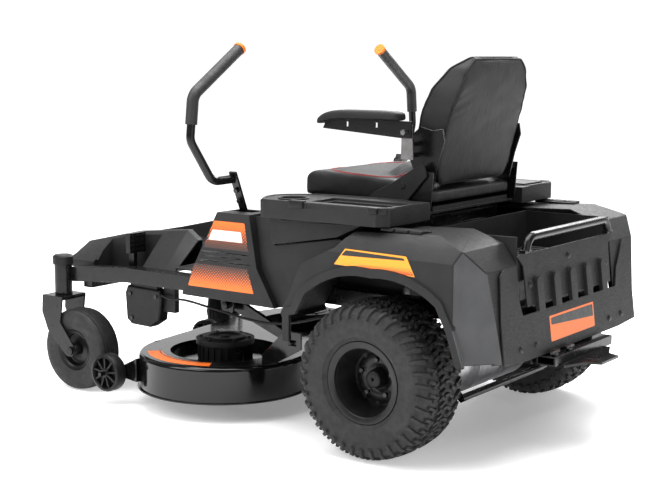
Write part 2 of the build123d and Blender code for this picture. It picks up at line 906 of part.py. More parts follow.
cable_radius = 4.0
cable_route = [
    (909.5, 397.0, 356.0),
    (862.0, 405.0, 349.0),
    (806.0, 408.0, 356.0),
    (748.0, 407.0, 350.0),
    (690.0, 405.0, 341.0),
    (634.0, 402.0, 333.0),
    (578.0, 400.0, 325.0),
    (524.0, 398.0, 319.0),
    (470.0, 396.0, 317.0),
    (416.0, 394.0, 321.0),
    (362.0, 388.0, 330.0),
    (312.0, 376.0, 343.0),
    (272.0, 356.0, 356.0),
    (244.0, 330.0, 366.0),
]


def cable_radii(points):
    """The largest arc that each corner's two runs allow."""
    radii = []
    for before, corner, after in zip(points, points[1:], points[2:]):
        run_in, run_out = Vector(corner) - Vector(before), Vector(after) - Vector(corner)
        turn = radians(run_in.get_angle(run_out))
        radii.append(0.45 * min(run_in.length, run_out.length) / tan(turn / 2))
    return radii


with BuildPart() as lift_cable:
    with BuildLine() as cable_path:
        FilletPolyline(*cable_route, radius=cable_radii(cable_route))
    with BuildSketch(Plane(origin=cable_path.line @ 0, z_dir=cable_path.line % 0)):
        Circle(cable_radius)
    sweep()
write(lift_cable.part, "lift_cable")

# ---- rear wheels ----


def tyre(half_width, tyre_radius, bead_radius, shoulder):
    """Half-section points of a tyre as (y, radius), for a wheel centred on y = 0."""
    return [
        (-half_width * 0.80, bead_radius),
        (-half_width * 0.97, bead_radius + (tyre_radius - bead_radius) * 0.30),
        (-half_width, bead_radius + (tyre_radius - bead_radius) * 0.55),
        (-half_width * 0.97, tyre_radius - shoulder * 1.4),
        (-half_width * 0.80, tyre_radius - shoulder * 0.35),
        (-half_width * 0.45, tyre_radius),
        (half_width * 0.45, tyre_radius),
        (half_width * 0.80, tyre_radius - shoulder * 0.35),
        (half_width * 0.97, tyre_radius - shoulder * 1.4),
        (half_width, bead_radius + (tyre_radius - bead_radius) * 0.55),
        (half_width * 0.97, bead_radius + (tyre_radius - bead_radius) * 0.30),
        (half_width * 0.80, bead_radius),
    ]


def placed(points, side, centre_y):
    """Wheel-section points moved out to a wheel's own side, outer face outwards."""
    return [(side * (centre_y + y), r) for y, r in points]


rim_half = rear_rim_width / 2
rim_points = [
    (rim_half, rear_flange_radius),
    (rim_half - 5, rear_flange_radius),
    (rim_half - 8, rear_bead_radius),
    (-rim_half + 8, rear_bead_radius),
    (-rim_half + 5, rear_flange_radius),
    (-rim_half, rear_flange_radius),
    (-rim_half, rear_bead_radius - 4),
    (-rim_half + 16, rear_bead_radius - 8),
    (-rim_half + 30, 84),
    (-12, 84),
    (-6, 40),
    (-6, axle_radius + running),
    (2, axle_radius + running),
    (2, 34),
    (8, 62),
    (2, 78),
    (rim_half - 34, 88),
    (rim_half - 18, 90),
    (rim_half - 10, rear_bead_radius - 5),
    (rim_half, rear_bead_radius),
]
bead_inset = 8.5
bead_y = rear_rim_width / 2 - bead_inset
for side_name, side in side_sign.items():
    with BuildPart() as rear_tyre:
        section = tyre(rear_tyre_width / 2, rear_tyre_radius, rear_bead_radius + tyre_fit, 26)
        carcass = [
            (-72, rear_bead_radius + tyre_fit),
            (-80, 150),
            (-70, 196),
            (70, 196),
            (80, 150),
            (72, rear_bead_radius + tyre_fit),
        ]
        turned(placed(section, side, rear_wheel_y), 0, rear_tyre_radius)
        flange_cut = [
            (rim_half + 12, 0),
            (rim_half + 12, rear_flange_radius + flange_fit),
            (rim_half - 5.3, rear_flange_radius + flange_fit),
            (bead_y + tyre_fit, rear_bead_radius + tyre_fit),
            (bead_y + tyre_fit, 0),
        ]
        turned(placed(flange_cut, side, rear_wheel_y), 0, rear_tyre_radius, mode=Mode.SUBTRACT)
        turned(
            placed([(-y, r) for y, r in flange_cut], side, rear_wheel_y),
            0,
            rear_tyre_radius,
            mode=Mode.SUBTRACT,
        )
        turned(placed(carcass, side, rear_wheel_y), 0, rear_tyre_radius, mode=Mode.SUBTRACT)
    write(rear_tyre.part, f"rear_tyre_{side_name}")

    with BuildPart() as rear_rim:
        turned(placed(rim_points, side, rear_wheel_y), 0, rear_tyre_radius)
        cap_start = side * (hub_face_y + gap)
        rod((0, cap_start, rear_tyre_radius), (0, side * (hub_face_y + 34), rear_tyre_radius), hub_cap_radius)
        rod((0, side * (hub_face_y - 6), rear_tyre_radius), (0, cap_start, rear_tyre_radius), 40)
        rod(
            (0, side * (hub_face_y - 30), rear_tyre_radius),
            (0, side * (hub_face_y + 6), rear_tyre_radius),
            axle_radius + running,
            mode=Mode.SUBTRACT,
        )
        for turn in range(4):
            angle = radians(45 + 90 * turn)
            nut = (54 * cos(angle), rear_tyre_radius + 54 * sin(angle))
            rod((nut[0], side * (rear_wheel_y + 2), nut[1]), (nut[0], side * (rear_wheel_y + 22), nut[1]), 9)
    write(rear_rim.part, f"rear_rim_{side_name}")

# ---- front casters ----

for side_name, side in side_sign.items():
    y = side * caster_y
    swivel = Axis((swivel_x, y, 0), (0, 0, 1))
    yaw = caster_yaw[side_name]
    with BuildPart() as caster_fork:
        rod((swivel_x, y, barrel_bottom - 4), (swivel_x, y, barrel_top - 2), stem_radius)
        block((swivel_x - 48, swivel_x + 46), (y - fork_outer, y + fork_outer), (309, barrel_bottom - gap))
        for leg in (1, -1):
            leg_y = sorted((y + leg * fork_inner, y + leg * fork_outer))
            side_plate(
                [
                    (swivel_x - 48, 316),
                    (swivel_x + 46, 316),
                    (swivel_x + 50, 262),
                    (swivel_x + 24, 200),
                    (caster_axle_x + 20, 120),
                    (caster_axle_x - 6, 118),
                    (caster_axle_x - 20, 139),
                    (caster_axle_x - 12, 160),
                    (swivel_x - 36, 232),
                ],
                *leg_y,
            )
        bolt_reach = fork_outer + 9
        rod(
            (caster_axle_x, y - bolt_reach, caster_tyre_radius),
            (caster_axle_x, y + bolt_reach, caster_tyre_radius),
            caster_axle_radius,
        )
        for leg in (1, -1):
            rod(
                (caster_axle_x, y + leg * fork_outer, caster_tyre_radius),
                (caster_axle_x, y + leg * (fork_outer + 8), caster_tyre_radius),
                14,
            )
    write(caster_fork.part.rotate(swivel, yaw), f"caster_fork_{side_name}")

    hub_half = caster_tyre_width / 2 + fork_gap - 0.6
    caster_rim_points = [
        (hub_half, caster_axle_radius + running),
        (hub_half, 17),
        (14, 19),
        (10, 52),
        (34, 56),
        (40, caster_bead_radius + 6),
        (36, caster_bead_radius + 6),
        (30, caster_bead_radius),
    ]
    mirrored = [(-a, r) for a, r in reversed(caster_rim_points)]
    with BuildPart() as caster_rim:
        turned(
            [(y + side * a, r) for a, r in caster_rim_points + mirrored],
            caster_axle_x,
            caster_tyre_radius,
        )
    write(caster_rim.part.rotate(swivel, yaw), f"caster_rim_{side_name}")

    half = caster_tyre_width / 2
    caster_section = [
        (-30, caster_bead_radius + bead_slack),
        (-36, caster_bead_radius + 6 + bead_slack),
        (-40 - bead_slack, caster_bead_radius + 6 + bead_slack),
        (-half * 0.97, 92),
        (-half, 108),
        (-half * 0.93, 124),
        (-half * 0.72, 134),
        (-half * 0.35, caster_tyre_radius),
    ]
    with BuildPart() as caster_tyre:
        ring = caster_section + [(-a, r) for a, r in reversed(caster_section)]
        turned([(y + a, r) for a, r in ring], caster_axle_x, caster_tyre_radius)
        groove_offsets = [-24, -12, 0, 12, 24]
        for groove in groove_offsets:
            groove_ring = [
                (groove - 1.6, 134.5), (groove + 1.6, 134.5), (groove + 1.6, 145), (groove - 1.6, 145)
            ]
            turned(
                [(y + a, r) for a, r in groove_ring],
                caster_axle_x,
                caster_tyre_radius,
                mode=Mode.SUBTRACT,
            )
        air_bore = caster_bead_radius + bead_slack
        hollow = [(-24, air_bore), (-34, 88), (-30, 118), (30, 118), (34, 88), (24, air_bore)]
        turned([(y + a, r) for a, r in hollow], caster_axle_x, caster_tyre_radius, mode=Mode.SUBTRACT)
    write(caster_tyre.part.rotate(swivel, yaw), f"caster_tyre_{side_name}")

# ---- control levers ----

lean = radians(lever_lean)
foot_length = 188.0
ear_gap = 14.0
swing_pin_radius = 6.0
lug_radius = 13.0

for side_name, side in side_sign.items():
    y = side * lever_y
    pivot_pin_y = sorted((side * (lever_y + 4), side * (bracket_y[1] + 6)))
    with BuildPart() as lever_base:
        rod((lever_x, pivot_pin_y[0], lever_pivot_z), (lever_x, pivot_pin_y[1], lever_pivot_z), 10)
        block(
            (lever_x - 28, lever_x + 28),
            sorted((side * (lever_y - 9), side * (lever_y + 9))),
            (lever_pivot_z - 16, swing_pivot_z - 22),
        )
        for ear in (1, -1):
            ear_x = sorted((lever_x + ear * ear_gap, lever_x + ear * (ear_gap + 9)))
            block(
                ear_x,
                sorted((side * (lever_y - 9), side * (lever_y + 9))),
                (swing_pivot_z - 30, swing_pivot_z + 10),
            )
        rod(
            (lever_x - ear_gap - 14, y, swing_pivot_z),
            (lever_x + ear_gap + 14, y, swing_pivot_z),
            swing_pin_radius,
        )
    write(lever_base.part, f"lever_base_{side_name}")

    def foot_point(along, across):
        """A point of the leaning foot in the YZ plane."""
        return (
            side * (lever_y + along * sin(lean) + across * cos(lean)),
            swing_pivot_z + along * cos(lean) - across * sin(lean),
        )

    with BuildPart() as lap_bar:
        rod(
            (lever_x - ear_gap + 0.4, y, swing_pivot_z),
            (lever_x + ear_gap - 0.4, y, swing_pivot_z),
            lug_radius,
        )
        foot = [foot_point(4, -4), foot_point(foot_length, -4), foot_point(foot_length, 4), foot_point(4, 4)]
        cross_plate(foot, lever_x - ear_gap + 0.4, lever_x + ear_gap - 0.4)
        for bolt_along in (92, 128):
            bolt = foot_point(bolt_along, 0)
            bolt_out = foot_point(bolt_along, 13)
            rod((lever_x, *bolt), (lever_x, *bolt_out), 8)
        with BuildLine() as bar_path:
            FilletPolyline(
                (lever_x + 5, side * 449, 763),
                (lever_x + 22, side * 530, 759),
                (586, side * 606, 885),
                (585, side * 592, 1018),
                (582, side * 386, 1152),
                radius=[42, 46, 46],
            )
        with BuildSketch(Plane(origin=bar_path.line @ 0, z_dir=bar_path.line % 0)):
            Circle(bar_radius)
        sweep()
        rod(
            (lever_x - ear_gap, y, swing_pivot_z),
            (lever_x + ear_gap, y, swing_pivot_z),
            swing_pin_radius + running,
            mode=Mode.SUBTRACT,
        )
    write(lap_bar.part, f"lap_bar_{side_name}")

    with BuildPart() as lap_grip:
        with BuildLine() as grip_path:
            FilletPolyline(
                (586 - 0.32, side * 600.9, 932),
                (585, side * 592, 1018),
                (582, side * 386, 1152),
                radius=46,
            )
        with BuildSketch(Plane(origin=grip_path.line @ 0, z_dir=grip_path.line % 0)):
            Circle(grip_radius)
            Circle(bar_radius + 0.2, mode=Mode.SUBTRACT)
        sweep()
        end, heading = grip_path.line @ 1, grip_path.line % 1
        rod(end + heading * 0.5, end + heading * 10, grip_radius + 2)
    write(lap_grip.part, f"lap_grip_{side_name}")

# ---- seat ----

with BuildPart() as seat_plate:
    block((20, seat_hinge_x - 18), (-205, 205), (seat_support_top + 6, seat_support_top + 11))
    for side in (1, -1):
        rail_y = sorted((side * 150, side * 180))
        block((30, 400), rail_y, (seat_support_top + 11, seat_support_top + 21))
        knuckle_y = sorted((side * seat_knuckle_y[0], side * seat_knuckle_y[1]))
        rod((seat_hinge_x, knuckle_y[0], seat_hinge_z), (seat_hinge_x, knuckle_y[1], seat_hinge_z), 8)
        block((seat_hinge_x - 30, seat_hinge_x), knuckle_y, (seat_support_top + 6, seat_support_top + 11))
    pin_reach = seat_knuckle_y[1] + 12
    rod((seat_hinge_x, -pin_reach, seat_hinge_z), (seat_hinge_x, pin_reach, seat_hinge_z), seat_pin_radius)
    block((16, 36), (-60, 60), (seat_support_top + 1, seat_support_top + 7))
write(seat_plate.part, "seat_plate")

with BuildPart() as seat_pan:
    for side in (1, -1):
        channel_y = sorted((side * 143, side * 187))
        groove_y = sorted((side * (150 - gap), side * (180 + gap)))
        block((10, 380), channel_y, (seat_support_top + 14, seat_support_top + 27))
        block((0, 430), groove_y, (seat_support_top + 10, seat_support_top + 21 + gap), mode=Mode.SUBTRACT)
    block((-26, 438), (-232, 232), (seat_support_top + 26, cushion_bottom - 14))
    block((-20, 430), (-225, 225), (cushion_bottom - 14, cushion_bottom - gap))
write(seat_pan.part, "seat_pan")

with BuildPart() as seat_cushion:
    side_plate(
        [
            (-36, cushion_bottom),
            (452, cushion_bottom),
            (448, 772),
            (425, cushion_top),
            (240, 788),
            (90, 772),
            (36, 752),
            (-36, 738),
        ],
        -seat_half_width,
        seat_half_width,
    )
    fillet(seat_cushion.edges().filter_by(Axis.Z), 30)
write(seat_cushion.part, "seat_cushion")

back_profile = [
    (-24, 748),
    (44, 766),
    (62, 840),
    (52, 910),
    (38, 985),
    (12, 1045),
    (-34, 1104),
    (-92, 1142),
    (-118, 1140),
    (-104, 1040),
    (-70, 940),
    (-40, 832),
]
with BuildPart() as seat_back_cushion:
    side_plate(back_profile, -back_half_width, back_half_width)
    cross_plate(
        both_sides(
            [
                (back_half_width - 40, 740),
                (back_half_width, 790),
                (back_half_width, 960),
                (208, 1044),
                (182, 1108),
                (140, 1145),
            ],
        ),
        -200,
        200,
        mode=Mode.INTERSECT,
    )
write(seat_back_cushion.part, "seat_back_cushion")

plate_y = (back_half_width + 5.0, back_half_width + 10.0)
with BuildPart() as seat_back_frame:
    for side in (1, -1):
        plate = sorted((side * plate_y[0], side * plate_y[1]))
        side_plate(
            [
                (-24, cushion_top - 40),
                (30, cushion_top - 24),
                (60, 840),
                (52, 905),
                (20, 930),
                (-20, 920),
                (-56, 925),
                (-62, 890),
                (-42, 830),
            ],
            *plate,
        )
        arm = sorted((side * (seat_half_width + 2), side * (seat_half_width + 6)))
        side_plate([(-30, 676), (120, 676), (120, 690), (40, 716), (10, 800), (-40, 800)], *arm)
        block((-26, 30), sorted((side * 232.2, side * (seat_half_width + 6))), (676, cushion_bottom - 14.5))
        block((-30, 8), sorted((side * plate_y[0], side * (seat_half_width + 6))), (780, 800))
        for stand_z in (848, 880):
            rod((30, side * plate_y[0], stand_z), (30, side * (armrest_y - 12), stand_z), 7)
        mount_y = sorted((side * (armrest_y - 16), side * (armrest_y - 11)))
        side_plate([(10, 836), (52, 836), (50, 936), (14, 936)], *mount_y)
        rod((32, side * (armrest_y - 12), 916), (32, side * (armrest_y + 12), 916), 8)
write(seat_back_frame.part, "seat_back_frame")

shield_y = (seat_half_width + 6.5, seat_half_width + 17.0)
with BuildPart() as seat_shields:
    for side in (1, -1):
        shield = sorted((side * shield_y[0], side * shield_y[1]))
        side_plate(
            [(-4, 826), (-15, 810), (-22, 787), (72, 681), (108, 688), (200, 702), (160, 733), (92, 766)],
            *shield,
        )
        rod((58, side * (shield_y[1] - 1), 757), (58, side * (shield_y[1] + 4), 757), 8)
write(seat_shields.part, "seat_shields")

pad_x = (42.0, 338.0)
pad_z = (948.0, 977.0)
for side_name, side in side_sign.items():
    arm_y = side * armrest_y
    with BuildPart() as armrest_bracket:
        bracket_side = sorted((side * (armrest_y - 10.5), side * (armrest_y - 5)))
        side_plate(
            [(14, 898), (52, 898), (330, 918), (316, pad_z[0] - gap), (14, pad_z[0] - gap)], *bracket_side
        )
        rod((32, arm_y - 14, 916), (32, arm_y + 14, 916), 8 + running, mode=Mode.SUBTRACT)
        for slot_x in (135, 240):
            block((slot_x - 4, slot_x + 4), (arm_y - 14, arm_y + 14), (926, 940), mode=Mode.SUBTRACT)
    write(armrest_bracket.part, f"armrest_bracket_{side_name}")

    with BuildPart() as armrest_pad:
        block(pad_x, (arm_y - 32, arm_y + 32), pad_z)
        fillet(armrest_pad.edges().filter_by(Axis.Z), 18)
        fillet(armrest_pad.faces().sort_by(Axis.Z)[-1].edges(), 9)
    write(armrest_pad.part, f"armrest_pad_{side_name}")

# ---- cutting deck ----


def deck_hull(radius, z_low, z_high, mode=Mode.ADD):
    """The deck's rounded outline round both spindles."""
    with BuildSketch(Plane.XY.offset(z_low)) as outline:
        with Locations(left_spindle, right_spindle):
            Circle(radius)
        make_hull()
    extrude(outline.sketch, amount=z_high - z_low, mode=mode)


front_gauge_y = -120.0
front_gauge_x = 1074.0 + 6 + gauge_radius + 8
spindles = {"left": left_spindle, "right": right_spindle}
hanger_slot = (31.0, 18.0)
with BuildPart() as upper_room:
    deck_hull(deck_radius - deck_wall - 11, well_floor - deck_wall - 1, deck_top - deck_wall)
    for spindle in spindles.values():
        rod((*spindle, well_floor - 10), (*spindle, deck_top), well_radius + deck_wall, mode=Mode.SUBTRACT)

with BuildPart() as deck_shell:
    deck_hull(deck_radius, deck_bottom, deck_top)
    fillet(deck_shell.faces().sort_by(Axis.Z)[-1].edges(), 14)
    deck_hull(deck_radius + 6, deck_bottom, deck_bottom + 5)
    for spindle in spindles.values():
        rod((*spindle, well_floor), (*spindle, deck_top + 1), well_radius, mode=Mode.SUBTRACT)
    deck_hull(deck_radius - deck_wall, deck_bottom - 1, well_floor - deck_wall, mode=Mode.SUBTRACT)
    add(upper_room.part, mode=Mode.SUBTRACT)
    for spindle in spindles.values():
        rod((*spindle, well_floor - 5), (*spindle, well_floor + 1), 30, mode=Mode.SUBTRACT)
    block(discharge_x, (chute_outer_y, right_spindle[1] - 190), (deck_bottom - 1, 146), mode=Mode.SUBTRACT)
    for side in (1, -1):
        hanger_y = sorted((side * 326, side * 334))
        rear_x = left_spindle[0] if side > 0 else right_spindle[0]
        side_plate(
            [
                (rear_x - 205, deck_top - 1),
                (rear_x - 262, deck_top - 1),
                (385, 232),
                (385, 284),
                (450, 284),
                (rear_x - 205, 196),
            ],
            *hanger_y,
        )
        with Locations((lift_pin_x - 7, side * 330, lift_pin_z)):
            Box(hanger_slot[0], 20, hanger_slot[1], mode=Mode.SUBTRACT)
    block((1002, 1018), (gauge_y - 55, gauge_y - 35), (gauge_z - 14, gauge_z + 14))
    side_plate([(930, 82), (1010, 92), (1010, 120), (930, 160)], gauge_y - 55, gauge_y - 35)
    rod((gauge_x, gauge_y - 55, gauge_z), (gauge_x, gauge_y + 30, gauge_z), 7)
    block((1002, gauge_x + 12), (gauge_y - 55, gauge_y - 35), (gauge_z - 12, gauge_z + 12))
    block(
        (front_gauge_x - 96, front_gauge_x + 12),
        (front_gauge_y - 23, front_gauge_y),
        (gauge_z - 12, gauge_z + 12),
    )
    rod((front_gauge_x, front_gauge_y - 23, gauge_z), (front_gauge_x, front_gauge_y + 60, gauge_z), 7)
    apron_x = (discharge_x[0] - 8, discharge_x[1] + 8)
    apron_root = right_spindle[1] - deck_radius + 60
    block(apron_x, (chute_hinge_y + 2, apron_root), (well_floor, well_floor + 8))
    for cheek_x in (apron_x[0], discharge_x[1]):
        block((cheek_x, cheek_x + 8), (chute_hinge_y - 2, apron_root - 4), (deck_bottom, well_floor + 8))
    for ear_x in (chute_x[0] - 16, chute_x[1] + 8):
        block(
            (ear_x, ear_x + 8),
            (chute_hinge_y - 16, chute_hinge_y + 6),
            (chute_hinge_z - 12, chute_hinge_z + 12),
        )
    rod(
        (chute_x[0] - 20, chute_hinge_y - 6, chute_hinge_z),
        (chute_x[1] + 20, chute_hinge_y - 6, chute_hinge_z),
        chute_pin_radius + running,
        mode=Mode.SUBTRACT,
    )
    rod((*wash_port, well_floor - 1), (*wash_port, wash_port_top), wash_port_radius + wash_port_wall)
    rod((*wash_port, well_floor - 8), (*wash_port, wash_port_top + 1), wash_port_radius, mode=Mode.SUBTRACT)
write(deck_shell.part, "deck_shell")

with BuildPart() as deck_motors:
    for spindle in spindles.values():
        base = well_floor + 0.3
        rod((*spindle, base), (*spindle, base + motor_height - 16), motor_radius)
        rod((*spindle, base + motor_height - 18), (*spindle, base + motor_height), motor_radius + 10)
        for rib in range(24):
            angle = radians(rib * 15)
            with Locations(
                Location(
                    (
                        spindle[0] + motor_radius * cos(angle),
                        spindle[1] + motor_radius * sin(angle),
                        base + 24,
                    ),
                    (0, 0, rib * 15),
                ),
            ):
                Box(10, 6, 44)
        rod((*spindle, base - 1), (*spindle, base + 32), spindle_radius + running, mode=Mode.SUBTRACT)
write(deck_motors.part, "deck_motors")

for side_name, spindle in spindles.items():
    with BuildPart() as blade:
        rod((*spindle, blade_z - 12), (*spindle, well_floor + 28), spindle_radius)
        with Locations((*spindle, blade_z)):
            Cylinder(28, 14)
        block(
            (spindle[0] - 30, spindle[0] + 30),
            (spindle[1] - blade_radius + 4, spindle[1] + blade_radius - 4),
            (blade_z - 2.5, blade_z + 2.5),
        )
        for tip in (1, -1):
            wing_y = sorted((spindle[1] + tip * (blade_radius - 80), spindle[1] + tip * (blade_radius - 4)))
            side_plate(
                [
                    (spindle[0] - tip * 10, blade_z),
                    (spindle[0] - tip * 30, blade_z),
                    (spindle[0] - tip * 30, blade_z + 22),
                    (spindle[0] - tip * 26, blade_z + 22),
                ],
                *wing_y,
            )
    write(blade.part, f"blade_{side_name}")

gauge_width = 46.0
gauge_places = {"left": (gauge_x, gauge_y - 34.4), "front": (front_gauge_x, front_gauge_y + 0.6)}
for place_name, (wheel_x, start) in gauge_places.items():
    with BuildPart() as gauge_wheel:
        hub = 7 + running
        face = start + gauge_width
        ring = [
            (start, hub),
            (start, 20),
            (start + 8, 26),
            (start + 8, 50),
            (start, 54),
            (start + 4, gauge_radius),
            (face - 4, gauge_radius),
            (face, 54),
            (face - 8, 50),
            (face - 8, 26),
            (face, 20),
            (face, hub),
        ]
        turned(ring, wheel_x, gauge_z)
    write(gauge_wheel.part, f"gauge_wheel_{place_name}")

with BuildPart() as chute:
    hinge_y = chute_hinge_y - 6
    rod(
        (chute_x[0] - 19, hinge_y, chute_hinge_z),
        (chute_x[1] + 19, hinge_y, chute_hinge_z),
        chute_pin_radius,
    )
    cross_plate(
        [
            (hinge_y, chute_hinge_z - 3),
            (hinge_y, chute_hinge_z + 3),
            (chute_outer_y + 40, 150),
            (chute_outer_y, 96),
            (chute_outer_y + 5, 94),
            (chute_outer_y + 42, 145),
        ],
        *chute_x,
    )
write(chute.part, "chute")

# ---- deck lift ----

with BuildPart() as lift_arms:
    rod((rockshaft_x, -366, rockshaft_z), (rockshaft_x, 366, rockshaft_z), 12)
    for side in (1, -1):
        arm_span = sorted((side * 306, side * 322))
        side_plate(
            [
                (rockshaft_x + 16, rockshaft_z + 12),
                (rockshaft_x - 10, rockshaft_z + 20),
                (lift_pin_x - 14, lift_pin_z + 10),
                (lift_pin_x - 10, lift_pin_z - 12),
                (lift_pin_x + 12, lift_pin_z - 10),
                (rockshaft_x + 14, rockshaft_z - 16),
            ],
            *arm_span,
        )
        pin_y = sorted((side * 320, side * 342))
        rod((lift_pin_x, pin_y[0], lift_pin_z), (lift_pin_x, pin_y[1], lift_pin_z), lift_pin_radius)
write(lift_arms.part, "lift_arms")

with BuildPart() as pedal:
    rod((pedal_pivot_x, 296, pedal_pivot_z), (pedal_pivot_x, gearbox_y_span[1] - 14, pedal_pivot_z), 10)
    side_plate(
        [
            (pedal_pivot_x - 16, pedal_pivot_z - 12),
            (pedal_pivot_x + 16, pedal_pivot_z - 12),
            (pedal_pad_x + 14, 404),
            (pedal_pad_x + 14, pedal_pad_z),
            (pedal_pad_x - 12, pedal_pad_z),
            (pedal_pad_x - 12, 412),
            (pedal_pivot_x - 14, pedal_pivot_z + 16),
        ],
        pedal_y - 8,
        pedal_y + 8,
    )
    block(
        (pedal_pad_x - 24, pedal_pad_x - 4),
        (pedal_y - 38, pedal_y + 38),
        (pedal_pad_z - 34, pedal_pad_z + 34),
    )
    for row in range(4):
        for column in range(3):
            stud = (pedal_y - 24 + 24 * column, pedal_pad_z - 24 + 16 * row)
            rod((pedal_pad_x - 28, *stud), (pedal_pad_x - 23, *stud), 4)
write(pedal.part, "pedal")

# ---- screws ----

screw_radius = 8.0
screw_depth = 4.0
bumper_screws = [(240.5, 37), (-240.5, 37), (330, 38), (-330, 38)]
tailgate_screws = [(247, 209), (-247, 209), (0, 262)]
gearbox_screws = [(930, 350), (1045, 350), (1040, 268)]
with BuildPart() as body_screws:
    for screw_y, height in bumper_screws + tailgate_screws:
        rear_stud(screw_y, height, screw_radius, screw_depth)
    for screw_x, screw_z in gearbox_screws:
        rod(
            (screw_x, gearbox_y_span[1], screw_z),
            (screw_x, gearbox_y_span[1] + screw_depth, screw_z),
            screw_radius - 1,
        )
    for bolt_y in hitch_bolt_y:
        rod((hitch_bolt_x, bolt_y, 288), (hitch_bolt_x, bolt_y, 308), 5)
        rod((hitch_bolt_x, bolt_y, 292.3), (hitch_bolt_x, bolt_y, 299), 9.5)
        block((hitch_bolt_x - 4, hitch_bolt_x + 4), (bolt_y - 24, bolt_y + 24), (298, 306))
write(body_screws.part, "body_screws")
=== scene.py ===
"""Looks of a battery zero turn riding mower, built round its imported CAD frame.

Lengths named below are in millimetres from the rear axle: x forwards, y to the operator's left
and z up from the ground. at() turns them into the frame's metres.
"""

import json
from math import cos, exp, hypot, pi, radians, sin

import bmesh
import bpy
import numpy as np
from mathutils import Matrix, Vector, noise
from mathutils.bvhtree import BVHTree
from mathutils.kdtree import KDTree

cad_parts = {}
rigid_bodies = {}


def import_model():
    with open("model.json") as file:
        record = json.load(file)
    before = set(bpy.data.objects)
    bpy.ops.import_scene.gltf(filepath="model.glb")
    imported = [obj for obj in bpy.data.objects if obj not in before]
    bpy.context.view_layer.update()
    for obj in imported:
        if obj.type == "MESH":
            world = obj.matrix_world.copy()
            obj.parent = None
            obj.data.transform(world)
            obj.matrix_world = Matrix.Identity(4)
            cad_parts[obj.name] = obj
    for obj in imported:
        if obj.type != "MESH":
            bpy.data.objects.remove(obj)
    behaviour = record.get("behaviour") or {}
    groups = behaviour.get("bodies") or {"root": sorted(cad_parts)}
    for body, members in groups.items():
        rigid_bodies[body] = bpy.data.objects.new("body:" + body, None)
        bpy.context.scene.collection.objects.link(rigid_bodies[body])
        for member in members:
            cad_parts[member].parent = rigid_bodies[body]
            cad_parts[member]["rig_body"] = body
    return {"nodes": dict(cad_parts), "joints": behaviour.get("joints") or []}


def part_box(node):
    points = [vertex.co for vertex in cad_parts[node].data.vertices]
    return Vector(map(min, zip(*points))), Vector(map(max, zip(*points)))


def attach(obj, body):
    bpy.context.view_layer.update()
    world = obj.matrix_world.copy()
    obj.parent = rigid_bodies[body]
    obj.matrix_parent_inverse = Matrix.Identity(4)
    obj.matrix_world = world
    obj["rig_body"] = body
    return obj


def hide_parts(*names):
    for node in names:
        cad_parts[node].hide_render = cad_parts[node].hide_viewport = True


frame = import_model()

bl_info = {
    "name": "Zero turn mower looks",
    "version": (1, 0, 0),
    "blender": (4, 5, 0),
    "location": "View3D > Sidebar > Mower",
    "description": "Builds the tyres, cushions, decals and finishes of a zero turn mower",
    "category": "Object",
}

MM = 0.001
SIDES = {"left": 1, "right": -1}


# ---- places taken from the frame ----


def middle(node):
    """The centre of a CAD node's box."""
    low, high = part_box(node)
    return (low + high) / 2


axle = middle("rear_tyre_left")
centre_y = (axle.y + middle("rear_tyre_right").y) / 2


def at(x, y, z):
    """A point given in millimetres from the rear axle, in the frame's metres."""
    return Vector((axle.x + x * MM, centre_y + y * MM, z * MM))


def local(point):
    """A point of the frame in millimetres from the rear axle."""
    return (point.x - axle.x) / MM, (point.y - centre_y) / MM, point.z / MM


# ---- user settings ----


class TreadSettings(bpy.types.PropertyGroup):
    """Sizes of the rear tyres' tread."""

    pitches: bpy.props.IntProperty(
        name="Pitches", description="Rows of lugs round a rear tyre", default=38, min=8
    )
    lug_height: bpy.props.FloatProperty(
        name="Lug height", description="Height of a lug above the carcass", default=0.008, unit="LENGTH"
    )
    lug_width: bpy.props.FloatProperty(
        name="Lug width", description="Width of a crown lug", default=0.0125, unit="LENGTH"
    )


class SeatSettings(bpy.types.PropertyGroup):
    """Sizes and colours of the upholstery."""

    pressure: bpy.props.FloatProperty(
        name="Pressure", description="Air pressure in the cloth simulation", default=4.0
    )
    voxel: bpy.props.FloatProperty(
        name="Cloth grain", description="Size of the simulated cloth's faces", default=0.006, unit="LENGTH"
    )
    stitch: bpy.props.FloatProperty(
        name="Stitch length", description="Length of one stitch", default=0.0052, unit="LENGTH"
    )
    thread: bpy.props.FloatVectorProperty(
        name="Thread", description="Colour of the seat's thread", subtype="COLOR", default=(0.45, 0.01, 0.012)
    )


class DecalSettings(bpy.types.PropertyGroup):
    """Colours of the decals."""

    orange: bpy.props.FloatVectorProperty(
        name="Orange", description="Main decal colour", subtype="COLOR", default=(0.87, 0.16, 0.012)
    )
    amber: bpy.props.FloatVectorProperty(
        name="Amber", description="Second decal colour", subtype="COLOR", default=(0.93, 0.36, 0.02)
    )
    dot_pitch: bpy.props.FloatProperty(
        name="Dot pitch", description="Spacing of the halftone dots", default=0.0075, unit="LENGTH"
    )


class StageSettings(bpy.types.PropertyGroup):
    """Camera and lights."""

    focal_length: bpy.props.FloatProperty(
        name="Focal length", description="Lens on a 36 mm sensor", default=71.9, unit="CAMERA"
    )
    key_power: bpy.props.FloatProperty(
        name="Key light", description="Power of the large soft light", default=110.0, unit="POWER"
    )
    fill_power: bpy.props.FloatProperty(
        name="Fill light", description="Power of the fill light", default=26.0, unit="POWER"
    )
    rim_power: bpy.props.FloatProperty(
        name="Rim light", description="Power of the light behind", default=120.0, unit="POWER"
    )
    top_power: bpy.props.FloatProperty(
        name="Top light", description="Power of the overhead light", default=260.0, unit="POWER"
    )


# ---- materials ----


def colour(value):
    """A linear colour as the four numbers that a socket takes."""
    return (*value, 1.0)


